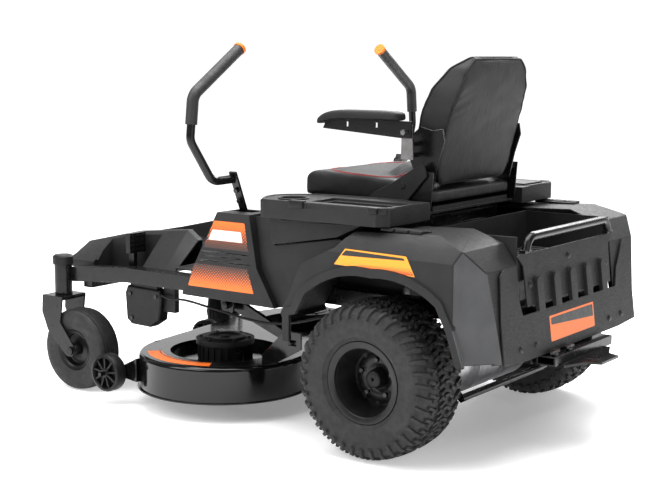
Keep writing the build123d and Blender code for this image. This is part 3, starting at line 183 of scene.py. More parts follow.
class Finish:
    """A principled material on Object coordinates, with helpers for its nodes."""

    def __init__(self, name):
        self.material = bpy.data.materials.new(name)
        self.material.use_nodes = True
        self.tree = self.material.node_tree
        self.tree.nodes.clear()
        output = self.node("OutputMaterial")
        self.shader = self.node("BsdfPrincipled")
        self.tree.links.new(self.shader.outputs["BSDF"], output.inputs["Surface"])
        self.coords = self.node("TexCoord").outputs["Object"]

    def node(self, kind, **settings):
        made = self.tree.nodes.new("ShaderNode" + kind)
        for key, value in settings.items():
            setattr(made, key, value)
        return made

    def feed(self, socket, value):
        """Links an output to a socket, or sets the socket to a plain value."""
        if isinstance(value, bpy.types.NodeSocket):
            self.tree.links.new(value, socket)
        else:
            socket.default_value = value

    def math(self, operation, first, second=0.0):
        made = self.node("Math", operation=operation)
        self.feed(made.inputs[0], first)
        self.feed(made.inputs[1], second)
        return made.outputs[0]

    def noise(self, scale, detail=3.0, stretch=None):
        made = self.node("TexNoise")
        made.inputs["Scale"].default_value = scale
        made.inputs["Detail"].default_value = detail
        self.feed(made.inputs["Vector"], self.stretched(stretch))
        return made.outputs[0]

    def stretched(self, stretch, turn=(0.0, 0.0, 0.0)):
        """The object coordinates, scaled and turned."""
        if stretch is None:
            return self.coords
        made = self.node("Mapping")
        made.inputs["Scale"].default_value = stretch
        made.inputs["Rotation"].default_value = turn
        self.feed(made.inputs["Vector"], self.coords)
        return made.outputs[0]

    def cells(self, scale, randomness=1.0, vector=None, feature="F1"):
        made = self.node("TexVoronoi", feature=feature)
        made.inputs["Scale"].default_value = scale
        made.inputs["Randomness"].default_value = randomness
        self.feed(made.inputs["Vector"], vector or self.coords)
        return made.outputs["Distance"]

    def spread(self, value, low, high, start=0.35, stop=0.65):
        """A value mapped from start..stop to low..high."""
        made = self.node("MapRange")
        for socket, number in zip(("From Min", "From Max", "To Min", "To Max"), (start, stop, low, high)):
            self.feed(made.inputs[socket], number)
        self.feed(made.inputs["Value"], value)
        return made.outputs["Result"]

    def blend(self, factor, first, second):
        made = self.node("Mix", data_type="RGBA")
        for index, value in ((0, factor), (6, first), (7, second)):
            self.feed(made.inputs[index], value)
        return made.outputs[2]

    def bump(self, height, distance, strength=1.0, under=None):
        made = self.node("Bump")
        made.inputs["Strength"].default_value = strength
        made.inputs["Distance"].default_value = distance
        self.feed(made.inputs["Height"], height)
        if under is not None:
            self.feed(made.inputs["Normal"], under)
        return made.outputs["Normal"]

    def attribute(self, name):
        return self.node("Attribute", attribute_name=name).outputs["Fac"]

    def set(self, **values):
        for key, value in values.items():
            self.feed(self.shader.inputs[key.replace("_", " ")], value)
        return self.material


def moulded(name, dark, light, rough, grain, depth, wear=0.5, mottle=14.0):
    """Moulded plastic: a stippled skin, slow colour changes and paler rubbed edges."""
    made = Finish(name)
    slow = made.noise(mottle, 4.0)
    base = made.blend(made.spread(slow, 0.0, 1.0), colour(dark), colour(light))
    rubbed = made.math("MULTIPLY", made.attribute("edge_wear"), made.spread(made.noise(90.0), 0.2, wear))
    base = made.blend(rubbed, base, colour([min(1.0, 0.012 + 2.0 * c) for c in light]))
    stipple = made.noise(grain, 2.0)
    normal = made.bump(stipple, depth)
    scuffs = made.spread(made.noise(60.0, 6.0, (1.0, 1.0, 4.0)), rough[0], rough[1])
    return made.set(Base_Color=base, Roughness=scuffs, Normal=normal, Specular_IOR_Level=0.24)


def painted(name, tint, rough, peel, coat=0.0, wear=0.35):
    """Painted steel: orange peel, faint dust and rubbed edges."""
    made = Finish(name)
    dust = made.spread(made.noise(22.0, 5.0), 0.0, 0.16)
    base = made.blend(dust, colour(tint), colour([c + 0.012 for c in tint]))
    rubbed = made.math("MULTIPLY", made.attribute("edge_wear"), made.spread(made.noise(140.0), 0.0, wear))
    base = made.blend(rubbed, base, colour([c + 0.04 for c in tint]))
    normal = made.bump(made.noise(320.0, 1.0), peel)
    roughness = made.spread(made.noise(35.0, 5.0), rough[0], rough[1])
    return made.set(
        Base_Color=base,
        Roughness=roughness,
        Normal=normal,
        Coat_Weight=coat,
        Coat_Roughness=0.08,
        Specular_IOR_Level=0.3,
    )


def rubber(name, tint, rough, grain=900.0, depth=0.0003, dust=0.25):
    """Rubber: fine grain with dust that settles in slow patches."""
    made = Finish(name)
    patches = made.spread(made.noise(26.0, 6.0), 0.0, dust)
    base = made.blend(patches, colour(tint), colour([c + 0.018 for c in tint]))
    normal = made.bump(made.noise(grain, 2.0), depth)
    roughness = made.spread(made.noise(55.0, 4.0), rough[0], rough[1])
    return made.set(Base_Color=base, Roughness=roughness, Normal=normal)


def vinyl(name, tint, rough, crease=0.0012):
    """Upholstery vinyl: leather grain over soft creases."""
    made = Finish(name)
    creases = made.bump(made.noise(34.0, 5.0, (1.0, 2.2, 1.0)), crease, 0.6)
    grain = made.bump(made.cells(620.0), 0.0004, 0.55, creases)
    patches = made.spread(made.noise(18.0, 4.0), 0.0, 1.0)
    base = made.blend(patches, colour(tint), colour([1.45 * c for c in tint]))
    roughness = made.spread(made.cells(620.0), rough[0], rough[1], 0.0, 0.6)
    return made.set(Base_Color=base, Roughness=roughness, Normal=grain, Specular_IOR_Level=0.2)


def metal(name, tint, rough, grain=420.0, depth=0.0003):
    """Bare cast or plated metal."""
    made = Finish(name)
    stains = made.spread(made.noise(40.0, 6.0), 0.0, 1.0)
    base = made.blend(stains, colour(tint), colour([0.72 * c for c in tint]))
    normal = made.bump(made.noise(grain, 3.0), depth)
    roughness = made.spread(made.noise(70.0, 5.0), rough[0], rough[1])
    return made.set(Base_Color=base, Roughness=roughness, Normal=normal, Metallic=1.0)


def thread(name, tint):
    """Twisted sewing thread."""
    made = Finish(name)
    twist = made.noise(2600.0, 1.0)
    base = made.blend(twist, colour(tint), colour([0.6 * c for c in tint]))
    return made.set(Base_Color=base, Roughness=0.6, Normal=made.bump(twist, 0.0002))


def film(name, tint, rough=0.3):
    """Printed decal film, faintly scuffed."""
    made = Finish(name)
    worn = made.spread(made.noise(120.0, 5.0), 0.0, 0.25)
    base = made.blend(worn, colour(tint), colour([0.8 * c for c in tint]))
    roughness = made.spread(made.noise(80.0, 4.0), rough, rough + 0.15)
    return made.set(Base_Color=base, Roughness=roughness, Normal=made.bump(made.noise(500.0), 0.00005))


def halftone(name, dots, ground, pitch, fade, lattice):
    """Printed dots on a diamond lattice that shrink along fade = (axis, start, stop) in metres."""
    made = Finish(name)
    axis, start, stop = fade
    vector = made.stretched(lattice, (0.0, pi / 4, 0.0) if lattice[1] == 0.0 else (pi / 4, 0.0, 0.0))
    distance = made.cells(1.0 / pitch, 0.0, vector)
    split = made.node("SeparateXYZ")
    made.feed(split.inputs[0], made.coords)
    radius = made.spread(split.outputs[axis], 0.62, 0.12, start, stop)
    dot = made.math("LESS_THAN", distance, radius)
    base = made.blend(dot, colour(ground), colour(dots))
    roughness = made.spread(made.noise(80.0, 4.0), 0.3, 0.45)
    return made.set(Base_Color=base, Roughness=roughness)


def studio_floor():
    """Pale seamless floor that glows, its glow dimmed near the machine as a painted shadow."""
    made = Finish("floor_paper")
    base = made.blend(made.noise(3.0), colour((0.86, 0.86, 0.86)), colour((0.89, 0.89, 0.89)))
    grain = made.bump(made.noise(300.0), 0.0001)
    reach = made.node("VectorMath")
    reach.operation = "LENGTH"
    made.feed(reach.inputs[0], made.stretched((0.8, 1.25, 0.0)))
    # Emission rises from 0.25 under the machine to 0.78 far out; the dim middle is a painted shadow.
    glow_with_painted_shadow = made.spread(reach.outputs["Value"], 0.25, 0.78, 0.5, 1.35)
    white = (1.0, 1.0, 1.0, 1.0)
    return made.set(
        Base_Color=base, Roughness=0.9, Normal=grain, Emission_Color=white, Emission_Strength=glow_with_painted_shadow
    )


CHARCOAL = (0.0125, 0.0127, 0.0133)
finishes = {}


def make_finishes():
    """Builds every material once."""
    finishes.update(
        body=moulded("charcoal_plastic", CHARCOAL, (0.017, 0.0173, 0.018), (0.46, 0.58), 1500.0, 0.00022),
        # A lighter copy of the charcoal plastic: a painted highlight for the fenders' rear-facing corner
        # faces.
        panel_gloss=moulded(
            "rear_corner_plastic",
            (0.055, 0.056, 0.058),
            (0.070, 0.071, 0.073),
            (0.38, 0.48),
            1500.0,
            0.00015,
        ),
        trim=moulded(
            "black_trim_plastic",
            (0.006, 0.006, 0.0062),
            (0.009, 0.009, 0.0095),
            (0.36, 0.50),
            1300.0,
            0.0002,
            0.3,
        ),
        frame=painted("frame_powder_coat", (0.004, 0.004, 0.0042), (0.16, 0.28), 0.00012),
        deck=painted("deck_gloss_paint", (0.002, 0.002, 0.0022), (0.06, 0.14), 0.00008, 0.1, 0.2),
        rim=painted("rim_satin_paint", (0.005, 0.005, 0.0052), (0.28, 0.42), 0.0001),
        tyre=rubber("tyre_rubber", (0.0085, 0.0085, 0.0088), (0.62, 0.80)),
        grip=rubber("grip_rubber", (0.008, 0.008, 0.0083), (0.48, 0.62), 1500.0, 0.0002, 0.15),
        mat=rubber("bed_mat_rubber", (0.040, 0.041, 0.043), (0.55, 0.70)),
        vinyl=vinyl("seat_vinyl", (0.010, 0.010, 0.0106), (0.40, 0.54)),
        back_vinyl=vinyl("seat_back_vinyl", (0.019, 0.019, 0.020), (0.42, 0.56), 0.0022),
        thread=thread("red_thread", (0.45, 0.01, 0.012)),
        alloy=metal("cast_alloy", (0.50, 0.50, 0.51), (0.30, 0.46)),
        zinc=metal("black_zinc", (0.06, 0.06, 0.063), (0.28, 0.42)),
        steel=metal("plated_steel", (0.26, 0.255, 0.25), (0.24, 0.38), 900.0, 0.0001),
        orange=moulded(
            "orange_plastic", (0.78, 0.16, 0.010), (0.86, 0.20, 0.016), (0.28, 0.40), 900.0, 0.0001, 0.1
        ),
    )


# ---- mesh helpers ----


def add_object(name, mesh, *materials):
    """Links a mesh as a new object with its materials."""
    made = bpy.data.objects.new(name, mesh)
    bpy.context.scene.collection.objects.link(made)
    for material in materials:
        mesh.materials.append(material)
    return made


def mesh_from(name, vertices, faces, smooth=True):
    mesh = bpy.data.meshes.new(name)
    mesh.from_pydata([tuple(v) for v in vertices], [], faces)
    mesh.validate()
    mesh.polygons.foreach_set("use_smooth", [smooth] * len(mesh.polygons))
    return mesh


def settle(made, name=None):
    """Replaces an object by the plain mesh that its modifiers or curve make."""
    depsgraph = bpy.context.evaluated_depsgraph_get()
    mesh = bpy.data.meshes.new_from_object(made.evaluated_get(depsgraph), depsgraph=depsgraph)
    name = name or made.name + "_plain"
    bpy.data.objects.remove(made)
    plain = bpy.data.objects.new(name, mesh)
    bpy.context.scene.collection.objects.link(plain)
    return plain


def sharpen(bm, angle):
    """Marks edges steeper than an angle as sharp and the rest as smooth."""
    for face in bm.faces:
        face.smooth = True
    for edge in bm.edges:
        edge.smooth = not (len(edge.link_faces) == 2 and edge.calc_face_angle(0.0) > angle)


def refined(node, width, material, name=None):
    """A merged copy of a CAD node with bevelled edges that stands for the node."""
    source = frame["nodes"][node]
    bm = bmesh.new()
    bm.from_mesh(source.data)
    bmesh.ops.remove_doubles(bm, verts=bm.verts, dist=0.00001)
    bmesh.ops.dissolve_limit(bm, angle_limit=radians(0.6), verts=bm.verts, edges=bm.edges)
    corners = [e for e in bm.edges if len(e.link_faces) == 2 and e.calc_face_angle(0.0) > radians(27)]
    worn = set()
    if width and corners:
        made = bmesh.ops.bevel(
            bm, geom=corners, offset=width * MM, segments=2, profile=0.6, affect="EDGES", clamp_overlap=False
        )
        worn = set(made["faces"])
    wear = bm.faces.layers.float.new("edge_wear")
    for face in bm.faces:
        face[wear] = 1.0 if face in worn else 0.0
        face.material_index = 0
    sharpen(bm, radians(40))
    mesh = bpy.data.meshes.new(name or node + "_shell")
    bm.to_mesh(mesh)
    bm.free()
    shell = add_object(name or node + "_shell", mesh, material)
    shell.modifiers.new("even_normals", "WEIGHTED_NORMAL").keep_sharp = True
    shell = settle(shell, shell.name)
    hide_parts(node)
    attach(shell, source["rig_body"])
    return shell


def rounded(points, cuts=2, closed=True):
    """Corner cutting of an outline, for soft moulded corners."""
    for _ in range(cuts):
        pairs = list(zip(points, points[1:] + points[:1])) if closed else list(zip(points, points[1:]))
        cut = []
        for a, b in pairs:
            cut.append(tuple(0.75 * p + 0.25 * q for p, q in zip(a, b)))
            cut.append(tuple(0.25 * p + 0.75 * q for p, q in zip(a, b)))
        points = cut if closed else [points[0], *cut[1:-1], points[-1]]
    return points


def clipped(points, radius):
    """An outline with each corner replaced by a short curve that starts radius away from it."""
    made = []
    for before, corner, after in zip(points[-1:] + points[:-1], points, points[1:] + points[:1]):
        before, corner, after = Vector(before), Vector(corner), Vector(after)
        start = corner + (before - corner).normalized() * radius
        stop = corner + (after - corner).normalized() * radius
        for i in range(5):
            t = i / 4
            made.append(tuple(start * (1 - t) ** 2 + corner * 2 * t * (1 - t) + stop * t * t))
    return made


def wheel_axes(axis):
    """Two directions that make a right-handed set with a wheel's axis."""
    up = Vector((1, 0, 0)) if abs(axis.z) > 0.9 else Vector((0, 0, 1))
    up = (up - axis * up.dot(axis)).normalized()
    return up, up.cross(axis).normalized()


def lathe(name, profile, centre, axis, segments, material, angle=38):
    """A ring turned about an axis from a closed outline of (along, radius) millimetres."""
    up, across = wheel_axes(axis)
    vertices, faces = [], []
    count = len(profile)
    for turn in range(segments):
        out = up * cos(2 * pi * turn / segments) + across * sin(2 * pi * turn / segments)
        vertices += [centre + axis * (a * MM) + out * (r * MM) for a, r in profile]
    for turn in range(segments):
        here, there = turn * count, (turn + 1) % segments * count
        for i in range(count):
            j = (i + 1) % count
            faces.append((here + i, there + i, there + j, here + j))
    mesh = mesh_from(name, vertices, faces)
    bm = bmesh.new()
    bm.from_mesh(mesh)
    bmesh.ops.remove_doubles(bm, verts=bm.verts, dist=0.000005)
    bmesh.ops.recalc_face_normals(bm, faces=bm.faces)
    sharpen(bm, radians(angle))
    bm.to_mesh(mesh)
    bm.free()
    return add_object(name, mesh, material)


def tube(name, points, radius, material, smooth_order=4, sides=10):
    """A round tube along points, as a closed mesh."""
    line = bpy.data.curves.new(name, "CURVE")
    line.dimensions = "3D"
    spline = line.splines.new("NURBS")
    spline.points.add(len(points) - 1)
    for knot, point in zip(spline.points, points):
        knot.co = (*point, 1.0)
    spline.order_u = smooth_order
    spline.use_endpoint_u = True
    line.bevel_depth = radius
    line.bevel_resolution = max(1, sides // 4)
    line.resolution_u = 6
    line.use_fill_caps = True
    made = settle(add_object(name, line), name)
    made.data.materials.append(material)
    return made


def plate(name, outline, thickness, material, outward):
    """A thin closed plate from an outline of points, thickened along its normal, to the outward side."""
    bm = bmesh.new()
    face = bm.faces.new([bm.verts.new(p) for p in outline])
    face.normal_update()
    if face.normal.dot(outward) < 0:
        face.normal_flip()
    made = bmesh.ops.extrude_face_region(bm, geom=[face])
    lift = face.normal * thickness
    bmesh.ops.translate(bm, verts=[v for v in made["geom"] if isinstance(v, bmesh.types.BMVert)], vec=lift)
    bmesh.ops.recalc_face_normals(bm, faces=bm.faces)
    mesh = bpy.data.meshes.new(name)
    bm.to_mesh(mesh)
    bm.free()
    return add_object(name, mesh, material)


def soft_box(name, low, high, bevel, material):
    """A box between two corners given in millimetres, with rounded edges."""
    bm = bmesh.new()
    bmesh.ops.create_cube(bm, size=1.0)
    a, b = at(*low), at(*high)
    size = [abs(b[i] - a[i]) for i in range(3)]
    bmesh.ops.scale(bm, vec=size, verts=bm.verts)
    bmesh.ops.translate(bm, vec=(a + b) / 2, verts=bm.verts)
    bmesh.ops.bevel(bm, geom=bm.edges, offset=bevel * MM, segments=3, profile=0.5, affect="EDGES")
    sharpen(bm, radians(40))
    mesh = bpy.data.meshes.new(name)
    bm.to_mesh(mesh)
    bm.free()
    return add_object(name, mesh, material)


def joined(name, pieces):
    """Joins objects into one mesh object, keeping their materials."""
    bm = bmesh.new()
    materials = []
    for piece in pieces:
        start = len(bm.faces)
        bm.from_mesh(piece.data)
        bm.faces.ensure_lookup_table()
        own = list(piece.data.materials)
        for material in own:
            if material not in materials:
                materials.append(material)
        for face in bm.faces[start:]:
            face.material_index = materials.index(own[face.material_index])
        bpy.data.objects.remove(piece)
    mesh = bpy.data.meshes.new(name)
    bm.to_mesh(mesh)
    bm.free()
    return add_object(name, mesh, *materials)


# ---- geometry node trees ----


def new_tree(name, inputs):
    """A geometry node group with named inputs and one geometry output."""
    tree = bpy.data.node_groups.new(name, "GeometryNodeTree")
    for label, kind in inputs.items():
        tree.interface.new_socket(label, in_out="INPUT", socket_type="NodeSocket" + kind)
    tree.interface.new_socket("Geometry", in_out="OUTPUT", socket_type="NodeSocketGeometry")
    return tree, tree.nodes.new("NodeGroupInput"), tree.nodes.new("NodeGroupOutput")


def finish_tree(tree, entry, exit_node, instances):
    """Ends a tree in Realize Instances and Set Material."""
    real = tree.nodes.new("GeometryNodeRealizeInstances")
    paint = tree.nodes.new("GeometryNodeSetMaterial")
    tree.links.new(instances, real.inputs[0])
    tree.links.new(real.outputs[0], paint.inputs["Geometry"])
    tree.links.new(entry.outputs["Material"], paint.inputs["Material"])
    tree.links.new(paint.outputs[0], exit_node.inputs[0])


def pattern_source(tree, entry):
    info = tree.nodes.new("GeometryNodeObjectInfo")
    info.transform_space = "ORIGINAL"
    tree.links.new(entry.outputs["Pattern"], info.inputs["Object"])
    return info.outputs["Geometry"]


def copies_tree():
    """Copies of a pattern, each moved by Move and turned by Turn from the one before it."""
    kinds = {
        "Pattern": "Object",
        "Count": "Int",
        "Start": "Vector",
        "Move": "Vector",
        "Turn": "Vector",
        "Material": "Material",
    }
    tree, entry, exit_node = new_tree("copies", kinds)
    line = tree.nodes.new("GeometryNodeMeshLine")
    index = tree.nodes.new("GeometryNodeInputIndex")
    turn = tree.nodes.new("ShaderNodeVectorMath")
    turn.operation = "SCALE"
    place = tree.nodes.new("GeometryNodeInstanceOnPoints")
    tree.links.new(entry.outputs["Count"], line.inputs["Count"])
    tree.links.new(entry.outputs["Start"], line.inputs["Start Location"])
    tree.links.new(entry.outputs["Move"], line.inputs["Offset"])
    tree.links.new(entry.outputs["Turn"], turn.inputs[0])
    tree.links.new(index.outputs[0], turn.inputs["Scale"])
    tree.links.new(line.outputs[0], place.inputs["Points"])
    tree.links.new(pattern_source(tree, entry), place.inputs["Instance"])
    tree.links.new(turn.outputs[0], place.inputs["Rotation"])
    finish_tree(tree, entry, exit_node, place.outputs[0])
    return tree


def stitch_tree():
    """A pattern laid along a curve at an even spacing."""
    kinds = {"Pattern": "Object", "Path": "Object", "Spacing": "Float", "Material": "Material"}
    tree, entry, exit_node = new_tree("stitches", kinds)
    info = tree.nodes.new("GeometryNodeObjectInfo")
    info.transform_space = "ORIGINAL"
    points = tree.nodes.new("GeometryNodeCurveToPoints")
    points.mode = "LENGTH"
    place = tree.nodes.new("GeometryNodeInstanceOnPoints")
    tree.links.new(entry.outputs["Path"], info.inputs["Object"])
    tree.links.new(info.outputs["Geometry"], points.inputs["Curve"])
    tree.links.new(entry.outputs["Spacing"], points.inputs["Length"])
    tree.links.new(points.outputs["Points"], place.inputs["Points"])
    tree.links.new(points.outputs["Rotation"], place.inputs["Rotation"])
    tree.links.new(pattern_source(tree, entry), place.inputs["Instance"])
    finish_tree(tree, entry, exit_node, place.outputs[0])
    return tree


trees = {}


def grown(name, tree, **values):
    """A plain mesh grown by one of the trees. Its pattern object is removed."""
    holder = add_object(name + "_holder", bpy.data.meshes.new(name + "_holder"))
    modifier = holder.modifiers.new(name, "NODES")
    modifier.node_group = trees[tree]
    for item in trees[tree].interface.items_tree:
        if item.in_out == "INPUT":
            modifier[item.identifier] = values[item.name.lower()]
    made = settle(holder, name)
    bpy.data.objects.remove(values["pattern"])
    return made


def repeated(name, pattern, count, material, start=(0, 0, 0), move=(0, 0, 0), turn=(0, 0, 0)):
    return grown(
        name, "copies", pattern=pattern, count=count, start=start, move=move, turn=turn, material=material
    )


# ---- wheels ----


def node_axis(joint_name):
    """A joint's axis, pointed to the operator's left."""
    joint = next(j for j in frame["joints"] if j["name"] == joint_name)
    axis = Vector(joint["axis"]).normalized()
    return axis if axis.y > 0 else -axis


REAR_CARCASS = [
    (74, 103.5), (80, 117), (86, 119), (91, 122.5), (95, 130), (97.5, 131.5), (98.5, 135), (98.5, 142),
    (101, 160), (101.4, 174), (100.5, 186), (98.5, 193), (98.8, 195.5), (97, 198), (93, 205), (84, 212),
    (70, 216), (50, 218.6), (25, 220.2), (0, 220.6),
]
REAR_INSIDE = [(66, 196), (76, 150), (70, 106)]


def mirrored(points):
    """A half outline closed by its mirror image across the wheel's middle."""
    return points + [(-a, r) for a, r in reversed(points) if a]


def crown(across):
    """A point and normal of the rear carcass at a distance along its surface from the crown."""
    outline = list(reversed(REAR_CARCASS))
    left = abs(across)
    for (a, r), (b, q) in zip(outline, outline[1:]):
        run = hypot(b - a, q - r)
        if left <= run or (b, q) == outline[-1]:
            share = left / run
            break
        left -= run
    normal = ((r - q) / run, (b - a) / run)
    side = -1 if across < 0 else 1
    return side * (a + share * (b - a)), r + share * (q - r), side * normal[0], normal[1]


def lug(bm, path, width, height, base):
    """A tapered tread block along (across, round) points in millimetres, bent to the carcass."""
    rings = []
    for i, (across, round_) in enumerate(path):
        before, after = path[max(0, i - 1)], path[min(len(path) - 1, i + 1)]
        heading = Vector((after[0] - before[0], after[1] - before[1])).normalized()
        sideways = Vector((-heading.y, heading.x))
        end = -1 if i == 0 else 1 if i == len(path) - 1 else 0
        ring = []
        for wide, high in ((-0.5, 0), (-0.38, 0.82), (-0.30, 1.0), (0.30, 1.0), (0.38, 0.82), (0.5, 0)):
            draft = end * (0.5 - abs(wide)) * -width * 0.5 * (high > 0)
            s = across + sideways.x * wide * width + heading.x * draft
            t = round_ + sideways.y * wide * width + heading.y * draft
            a, r, na, nr = crown(s)
            lift = base + (height - base) * high
            angle = t / 220.0
            radius = r + nr * lift
            ring.append(
                bm.verts.new(
                    ((radius * sin(angle)) * MM, (a + na * lift) * MM, (radius * cos(angle)) * MM),
                ),
            )
        rings.append(ring)
    for one, two in zip(rings, rings[1:]):
        for i in range(len(one)):
            j = (i + 1) % len(one)
            bm.faces.new((one[i], one[j], two[j], two[i]))
    bm.faces.new(rings[0])
    bm.faces.new(list(reversed(rings[-1])))


def tread_pattern(pitch, width, height):
    """One pitch of turf tread: zigzag crown blocks between two rows of shoulder lugs."""
    rows = [
        ([(118, 10), (104, 7), (90, 2), (76, -3)], 12.0),
        ([(80, 15), (68, 11), (55, 4)], 10.5),
        ([(66, -4), (56, -1), (44, 6)], 10.5),
        ([(41, -8), (31, -5), (20, 2)], 10.5),
        ([(33, 10), (22, 13), (10, 20)], 10.5),
        ([(12, 1), (0, 3), (-12, 1)], 10.5),
    ]
    bm = bmesh.new()
    for path, share in rows:
        lug(bm, path, width * share / 10.5, height, -1.5)
        other = [(-s, t + pitch / 2) for s, t in path]
        if path[0][0] != -path[-1][0]:
            lug(bm, other, width * share / 10.5, height, -1.5)
    bmesh.ops.recalc_face_normals(bm, faces=bm.faces)
    sharpen(bm, radians(32))
    mesh = bpy.data.meshes.new("tread_pattern")
    bm.to_mesh(mesh)
    bm.free()
    return add_object("tread_pattern", mesh)


class MOWER_OT_rear_tyres(bpy.types.Operator):
    """Build the rear carcasses and their turf tread"""

    bl_idname = "mower.rear_tyres"
    bl_label = "Rear tyres"

    def execute(self, context):
        tread = context.scene.mower_tread
        for side_name, side in SIDES.items():
            hub = middle(f"rear_tyre_{side_name}")
            profile = mirrored(REAR_CARCASS)
            profile += [(-a, r) for a, r in reversed(REAR_INSIDE)] + REAR_INSIDE
            carcass = lathe(
                f"rear_carcass_{side_name}", profile, hub, Vector((0, 1, 0)), 128, finishes["tyre"]
            )
            pitch = 2 * pi * 220.0 / tread.pitches
            pattern = tread_pattern(pitch, tread.lug_width / MM, tread.lug_height / MM)
            step = (0, 2 * pi / tread.pitches * side, 0)
            lugs = repeated(
                f"rear_tread_{side_name}", pattern, tread.pitches, finishes["tyre"], start=hub, turn=step
            )
            made = joined(f"rear_tyre_{side_name}_turf", [carcass, lugs])
            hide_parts(f"rear_tyre_{side_name}")
            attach(made, f"rear_wheel_{side_name}")
        return {"FINISHED"}


REAR_RIM = [
    (89, 117.5), (84.5, 118.2), (83.2, 116), (81.5, 104), (76, 101.4), (60, 101.2), (20, 96), (-40, 96), (
        -70, 101
    ),
    (-81.5, 103), (-83.2, 116), (-84.5, 118.2), (-89, 117.5), (-89, 98), (-74, 93), (-60, 86), (-12, 84), (
        -7, 80
    ),
    (-6, 40), (-6, 15), (1.5, 15), (2, 33), (4, 38), (7.6, 44), (7.6, 62), (4, 70), (1, 77), (2, 81), (
        12, 83.5
    ),
    (50, 86), (58, 91), (70, 92.5), (76, 95.5), (85, 98.5), (88, 104),
]


class MOWER_OT_rims(bpy.types.Operator):
    """Build the pressed rims, their hub caps and nuts"""

    bl_idname = "mower.rims"
    bl_label = "Rims"

    def execute(self, context):
        for side_name, side in SIDES.items():
            hub = middle(f"rear_tyre_{side_name}")
            axis = Vector((0, side, 0))
            rim = lathe("rim", REAR_RIM, hub, axis, 96, finishes["rim"])
            cap = [(2.6, 0.4), (2.6, 26), (7, 30), (26, 26), (33, 24.5), (35.6, 20), (36, 0.4)]
            hub_cap = lathe("hub_cap", rounded(cap, 1), hub, axis, 48, finishes["trim"])
            nut = lathe(
                "nut", [(7, 0.4), (7, 11), (9.5, 11), (10.5, 8.2), (20, 8.2), (21.5, 6.4), (21.5, 0.4)],
                Vector((0, 0, 54 * MM)), axis, 6, finishes["zinc"], 20,
            )
            nuts = repeated("nuts", nut, 5, finishes["zinc"], start=hub, turn=(0, 2 * pi / 5, 0))
            holes = lathe(
                "hole",
                [(7.9, 0.3), (7.9, 4.5), (8.8, 6), (8.8, 0.3)],
                Vector((0, 0, 73 * MM)),
                axis,
                20,
                finishes["trim"],
            )
            dots = repeated("dots", holes, 10, finishes["trim"], start=hub, turn=(0, 2 * pi / 10, 0))
            made = joined(f"rear_rim_{side_name}_pressed", [rim, hub_cap, nuts, dots])
            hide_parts(f"rear_rim_{side_name}")
            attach(made, f"rear_wheel_{side_name}")
        return {"FINISHED"}


CASTER_TYRE = [
    (29, 64), (36, 70), (40.4, 70.5), (43, 76), (45.6, 88), (46.9, 104), (46.4, 116), (44.4, 124.5), (
        41, 130.5
    ),
    (35.5, 135), (32, 136.2), (31, 133), (29, 133), (28, 137), (19.5, 138.6), (18.5, 135.2), (16.5, 135.2),
    (15.5, 139), (6.5, 139.6), (5.5, 136), (3.5, 136), (2.5, 139.6),
]
CASTER_RIM = [
    (50, 8.2), (50, 16), (47, 18.5), (16, 20), (12, 30), (11, 46), (15, 52), (34, 56), (37, 60), (40, 68.5),
    (37.5, 69.5), (34.5, 66), (30, 63.2),
]


class MOWER_OT_caster_wheels(bpy.types.Operator):
    """Build the ribbed caster tyres and their rims"""

    bl_idname = "mower.caster_wheels"
    bl_label = "Caster wheels"

    def execute(self, context):
        for side_name in SIDES:
            hub = middle(f"caster_tyre_{side_name}")
            axis = node_axis(f"caster_{side_name}_roll")
            profile = mirrored(CASTER_TYRE) + [
                (-24, 64), (-34, 88), (-30, 118), (30, 118), (34, 88), (24, 64)
            ]
            tyre = lathe(f"caster_tyre_{side_name}_ribbed", profile, hub, axis, 112, finishes["tyre"])
            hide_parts(f"caster_tyre_{side_name}")
            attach(tyre, f"caster_wheel_{side_name}")
            rim = lathe(
                f"caster_rim_{side_name}_pressed", mirrored(CASTER_RIM), hub, axis, 72, finishes["rim"]
            )
            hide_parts(f"caster_rim_{side_name}")
            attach(rim, f"caster_wheel_{side_name}")
        return {"FINISHED"}


class MOWER_OT_gauge_wheels(bpy.types.Operator):
    """Build the spoked gauge wheels of the deck"""

    bl_idname = "mower.gauge_wheels"
    bl_label = "Gauge wheels"

    def execute(self, context):
        for place in ("left", "front"):
            node = f"gauge_wheel_{place}"
            hub, axis = middle(node), Vector((0, 1, 0))
            low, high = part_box(node)
            half, radius = (high.y - low.y) / 2 / MM, (high.z - low.z) / 2 / MM
            tyre = [(half - 0.4, radius - 9), (half - 3, radius - 2), (half - 8, radius - 0.1)]
            ring = mirrored(tyre) + [(-half + 6, radius - 13), (half - 6, radius - 13)]
            rim = lathe("ring", ring, hub, axis, 64, finishes["trim"])
            web = lathe("web", mirrored([(4, 7.6), (4, radius - 11)]), hub, axis, 48, finishes["trim"])
            boss = lathe(
                "boss",
                mirrored([(half, 7.2), (half, 13), (half - 4, 16)]),
                hub,
                axis,
                32,
                finishes["trim"],
            )
            spoke = bmesh.new()
            bmesh.ops.create_cube(spoke, size=1.0)
            bmesh.ops.scale(spoke, vec=(6 * MM, (2 * half - 8) * MM, (radius - 26) * MM), verts=spoke.verts)
            bmesh.ops.translate(spoke, vec=(0, 0, (radius / 2 + 1) * MM), verts=spoke.verts)
            bmesh.ops.bevel(spoke, geom=spoke.edges, offset=1.2 * MM, segments=2, profile=0.5, affect="EDGES")
            mesh = bpy.data.meshes.new("spoke")
            spoke.to_mesh(mesh)
            spoke.free()
            spokes = repeated(
                "spokes", add_object("spoke", mesh), 9, finishes["trim"], start=hub, turn=(0, 2 * pi / 9, 0)
            )
            made = joined(f"{node}_spoked", [rim, web, boss, spokes])
            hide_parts(node)
            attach(made, f"gauge_{place}")
        return {"FINISHED"}


# ---- steel work and moulded panels ----

